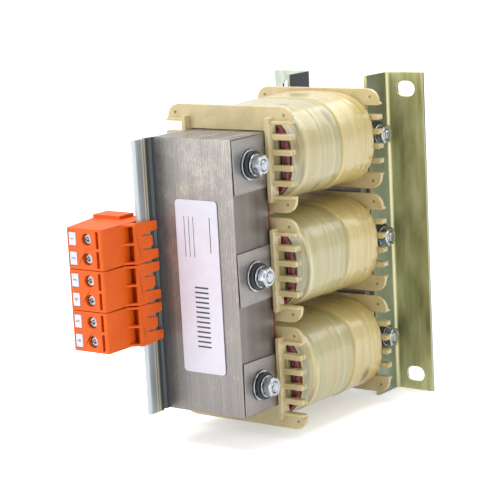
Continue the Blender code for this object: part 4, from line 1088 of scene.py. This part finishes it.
class REACTOR_OT_terminal_rail(bpy.types.Operator):
    """Fold the rail that carries the terminals"""

    bl_idname = "reactor.terminal_rail"
    bl_label = "Terminal rail"

    def execute(self, context):
        width = context.scene.reactor_sizes.sheared_edge
        dressed("terminal_rail_sheet", "terminal_rail", width, galvanised_sheet)
        return {"FINISHED"}


class REACTOR_OT_terminals(bpy.types.Operator):
    """Mould the orange terminals and set their screws and marker strips"""

    bl_idname = "reactor.terminals"
    bl_label = "Terminals"

    # Half width of the slot in a screw and of the narrower cross slot
    slot_half, cross_half = 0.45 * MM, 0.4 * MM

    def execute(self, context):
        width = context.scene.reactor_sizes.moulded_edge * 0.8
        for number in COILS:
            node = f"terminal_block_{number}"
            dressed(f"{node}_housing", node, width, orange_polyamide)
            node = f"marker_strip_{number}"
            dressed(f"{node}_tags", node, 0.15 * MM, label_film)
        nodes = numbered("clamp_screw", 6)
        places = seats(nodes, 1)
        screw = self.screw(nodes[0])
        on_places("clamp_screws", screw, places, 0.0, zinc_plating, nodes)
        low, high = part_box("marker_strip_1")
        figures = bmesh.new()
        for number, height in enumerate(sorted((place.z for place in places), reverse=True), 1):
            add_figure(figures, str(number), ((low.x + high.x) / 2, low.y, height), 3.4 * MM)
        settle(link_object("tag_figures", figures), [], printing_ink)
        return {"FINISHED"}

    def screw(self, node):
        """Clamp screw with a combined slot and cross recess, facing -Y."""
        low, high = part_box(node)
        radius, reach = (high.z - low.z) / 2, high.y - low.y
        profile = ((0.0, 0.0), (0.0, radius - 0.7 * MM), (0.12 * MM, radius - 0.35 * MM), (0.4 * MM, radius))
        profile += ((2.0 * MM, radius), (2.0 * MM, 1.8 * MM), (reach, 1.8 * MM), (reach, 0.0))
        screw = link_object("clamp_screw_shape", lathe(profile, 48))
        recess = bmesh.new()
        outside = -1.0 * MM
        slab(recess, (outside, -4.0 * MM, -self.slot_half), (0.9 * MM, 4.0 * MM, self.slot_half))
        slab(recess, (outside, -self.cross_half, -1.5 * MM), (1.3 * MM, self.cross_half, 1.5 * MM))
        cone = ((-1.0, 0.0), (-1.0, 1.5), (0.05, 1.35), (1.3, 0.5), (1.3, 0.0))
        recess.from_mesh(mesh_data("recess_cone", lathe([(x * MM, r * MM) for x, r in cone], 24)))
        tool = link_object("drive_recess", recess)
        cut = screw.modifiers.new("recess", "BOOLEAN")
        cut.object = tool
        cut.solver = "EXACT"
        cut.use_self = True
        bake(screw)
        bpy.data.objects.remove(tool)
        screw.data.transform(Matrix.Rotation(math.pi / 2, 4, "Z"))
        return shade_by_angle(screw, 35)


class REACTOR_OT_nameplate(bpy.types.Operator):
    """Lay the label with plain fields where print would be"""

    bl_idname = "reactor.nameplate"
    bl_label = "Nameplate"

    # Bars and lines as x and depth from the label's upper left corner, width and height, in millimetres
    bars = [(10.5, 47.0 + 2.7 * row, 9.0, 0.9) for row in range(13)]
    lines = [(5.5 + 3.0 * column, 9.0, 0.35, 22.0) for column in range(3)] + [(22.5, 9.0, 0.5, 19.0)]

    def execute(self, context):
        dressed("nameplate_film", "nameplate", 0.15 * MM, label_film)
        low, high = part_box("nameplate")
        mesh = bmesh.new()
        for x, z, width, height in self.bars + self.lines:
            start = (low.x + x * MM, low.y - 0.03 * MM, high.z - (z + height) * MM)
            slab(mesh, start, (start[0] + width * MM, low.y + 0.05 * MM, start[2] + height * MM))
        settle(link_object("nameplate_fields", mesh), [], printing_ink)
        return {"FINISHED"}


def clear_rays(tree):
    """1 for rays from the camera, off gloss and through glass, and 0 for those that light the object."""
    rays = add(tree, "LightPath").outputs
    direct_inputs = {0: rays["Is Camera Ray"], 1: rays["Is Glossy Ray"]}
    direct = add(tree, "Math", direct_inputs, operation="MAXIMUM")
    return add(tree, "Math", {0: direct, 1: rays["Is Transmission Ray"]}, operation="MAXIMUM")


class REACTOR_OT_stage(bpy.types.Operator):
    """Set the pale floor, the soft lamps and the camera"""

    bl_idname = "reactor.stage"
    bl_label = "Floor, lamps and camera"

    # Name, place, width, height and power
    lamps = (
        ("top_softbox", (-0.1, 0.0, 1.3), 1.0, 1.0, 14.0),
        ("front_softbox", (-0.5, -1.3, 0.7), 0.9, 0.9, 9.0),
        ("side_softbox", (1.4, -0.3, 0.6), 0.8, 1.2, 4.5),
        ("back_softbox", (0.2, 1.4, 0.9), 1.2, 0.8, 5.0),
    )
    target = Vector((0.0, 0.0, 0.09))

    def execute(self, context):
        scene = context.scene
        self.lay_floor(scene)
        self.light_world(scene)
        for name, place, width, height, power in self.lamps:
            lamp = bpy.data.lights.new(name, "AREA")
            lamp.shape = "RECTANGLE"
            lamp.size = width
            lamp.size_y = height
            lamp.energy = power
            holder = link_object(name, lamp)
            holder.location = place
            holder.rotation_euler = (Vector(place) - self.target).to_track_quat("Z", "Y").to_euler()
        view = bpy.data.cameras.new("photo_view")
        view.sensor_width = 36.0
        view.lens = CAMERA_LENS
        view.clip_end = 20.0
        camera = link_object("photo_view", view)
        axes = (Vector(CAMERA_RIGHT), -Vector(CAMERA_DOWN), -Vector(CAMERA_AHEAD))
        camera.matrix_world = Matrix.Translation(CAMERA_PLACE) @ Matrix(axes).transposed().to_4x4()
        scene.camera = camera
        scene.view_settings.view_transform = "Standard"
        return {"FINISHED"}

    def lay_floor(self, scene):
        """Matt floor that is white where it is seen, and toned only by the shadow near the reactor."""
        mesh = bmesh.new()
        bmesh.ops.create_grid(mesh, x_segments=8, y_segments=8, size=6.0)
        floor = link_object("floor", mesh)
        finish, tree, shader, place = start_finish(
            "pale_floor", Roughness=0.9, Emission_Color=(1.0, 1.0, 1.0, 1.0)
        )
        away = add(tree, "VectorMath", {0: place}, operation="LENGTH")
        lift = add(tree, "MapRange", {0: away, 1: 0.15, 2: 0.9, 3: 0.4, 4: 1.0})
        white = add(tree, "Math", {0: lift, 1: clear_rays(tree)}, operation="MULTIPLY")
        tree.links.new(white.outputs[0], shader.inputs["Emission Strength"])
        stops = tones(scene.reactor_colours.floor, (0.3, 0.985), (0.7, 1.0))
        feed(tree, shader, add(tree, "ValToRGB", {0: pattern(tree, place, 40.0)}, stops))
        floor.data.materials.append(finish)

    def light_world(self, scene):
        """Soft even light, seen as plain white."""
        world = bpy.data.worlds.new("soft_studio")
        scene.world = world
        world.use_nodes = True
        tree = world.node_tree
        ambient = tree.nodes["Background"]
        ambient.inputs[0].default_value = linear("#F3F5F8")
        ambient.inputs[1].default_value = 0.55
        white = add(tree, "Background", {0: (1.0, 1.0, 1.0, 1.0), 1: 1.0})
        mixed = add(tree, "MixShader", {0: clear_rays(tree), 1: ambient, 2: white})
        tree.links.new(mixed.outputs[0], tree.nodes["World Output"].inputs[0])


class REACTOR_PT_pieces(bpy.types.Panel):
    """Lists what builds the reactor."""

    bl_idname = "REACTOR_PT_pieces"
    bl_label = "Line reactor"
    bl_space_type = "VIEW_3D"
    bl_region_type = "UI"
    bl_category = "Reactor"

    def draw(self, context):
        for group in (context.scene.reactor_sizes, context.scene.reactor_colours):
            for field in group.bl_rna.properties:
                if field.identifier not in ("rna_type", "name"):
                    self.layout.prop(group, field.identifier)
        for operator in OPERATORS:
            self.layout.operator(operator.bl_idname)


OPERATORS = (
    REACTOR_OT_core,
    REACTOR_OT_bobbins,
    REACTOR_OT_windings,
    REACTOR_OT_coil_wraps,
    REACTOR_OT_fasteners,
    REACTOR_OT_pressure_plates,
    REACTOR_OT_mounting_angles,
    REACTOR_OT_terminal_rail,
    REACTOR_OT_terminals,
    REACTOR_OT_nameplate,
    REACTOR_OT_stage,
)
CLASSES = (ReactorSizes, ReactorColours, *OPERATORS, REACTOR_PT_pieces)


def register():
    """Make the classes known and hang the settings on the scene."""
    for item in CLASSES:
        bpy.utils.register_class(item)
    bpy.types.Scene.reactor_sizes = bpy.props.PointerProperty(type=ReactorSizes)
    bpy.types.Scene.reactor_colours = bpy.props.PointerProperty(type=ReactorColours)


def unregister():
    """Take the settings and the classes away."""
    del bpy.types.Scene.reactor_colours
    del bpy.types.Scene.reactor_sizes
    for item in reversed(CLASSES):
        bpy.utils.unregister_class(item)


def main():
    """Register the settings and build every piece."""
    register()
    for operator in OPERATORS:
        group, name = operator.bl_idname.split(".")
        getattr(getattr(bpy.ops, group), name)()


if __name__ == "__main__":
    main()
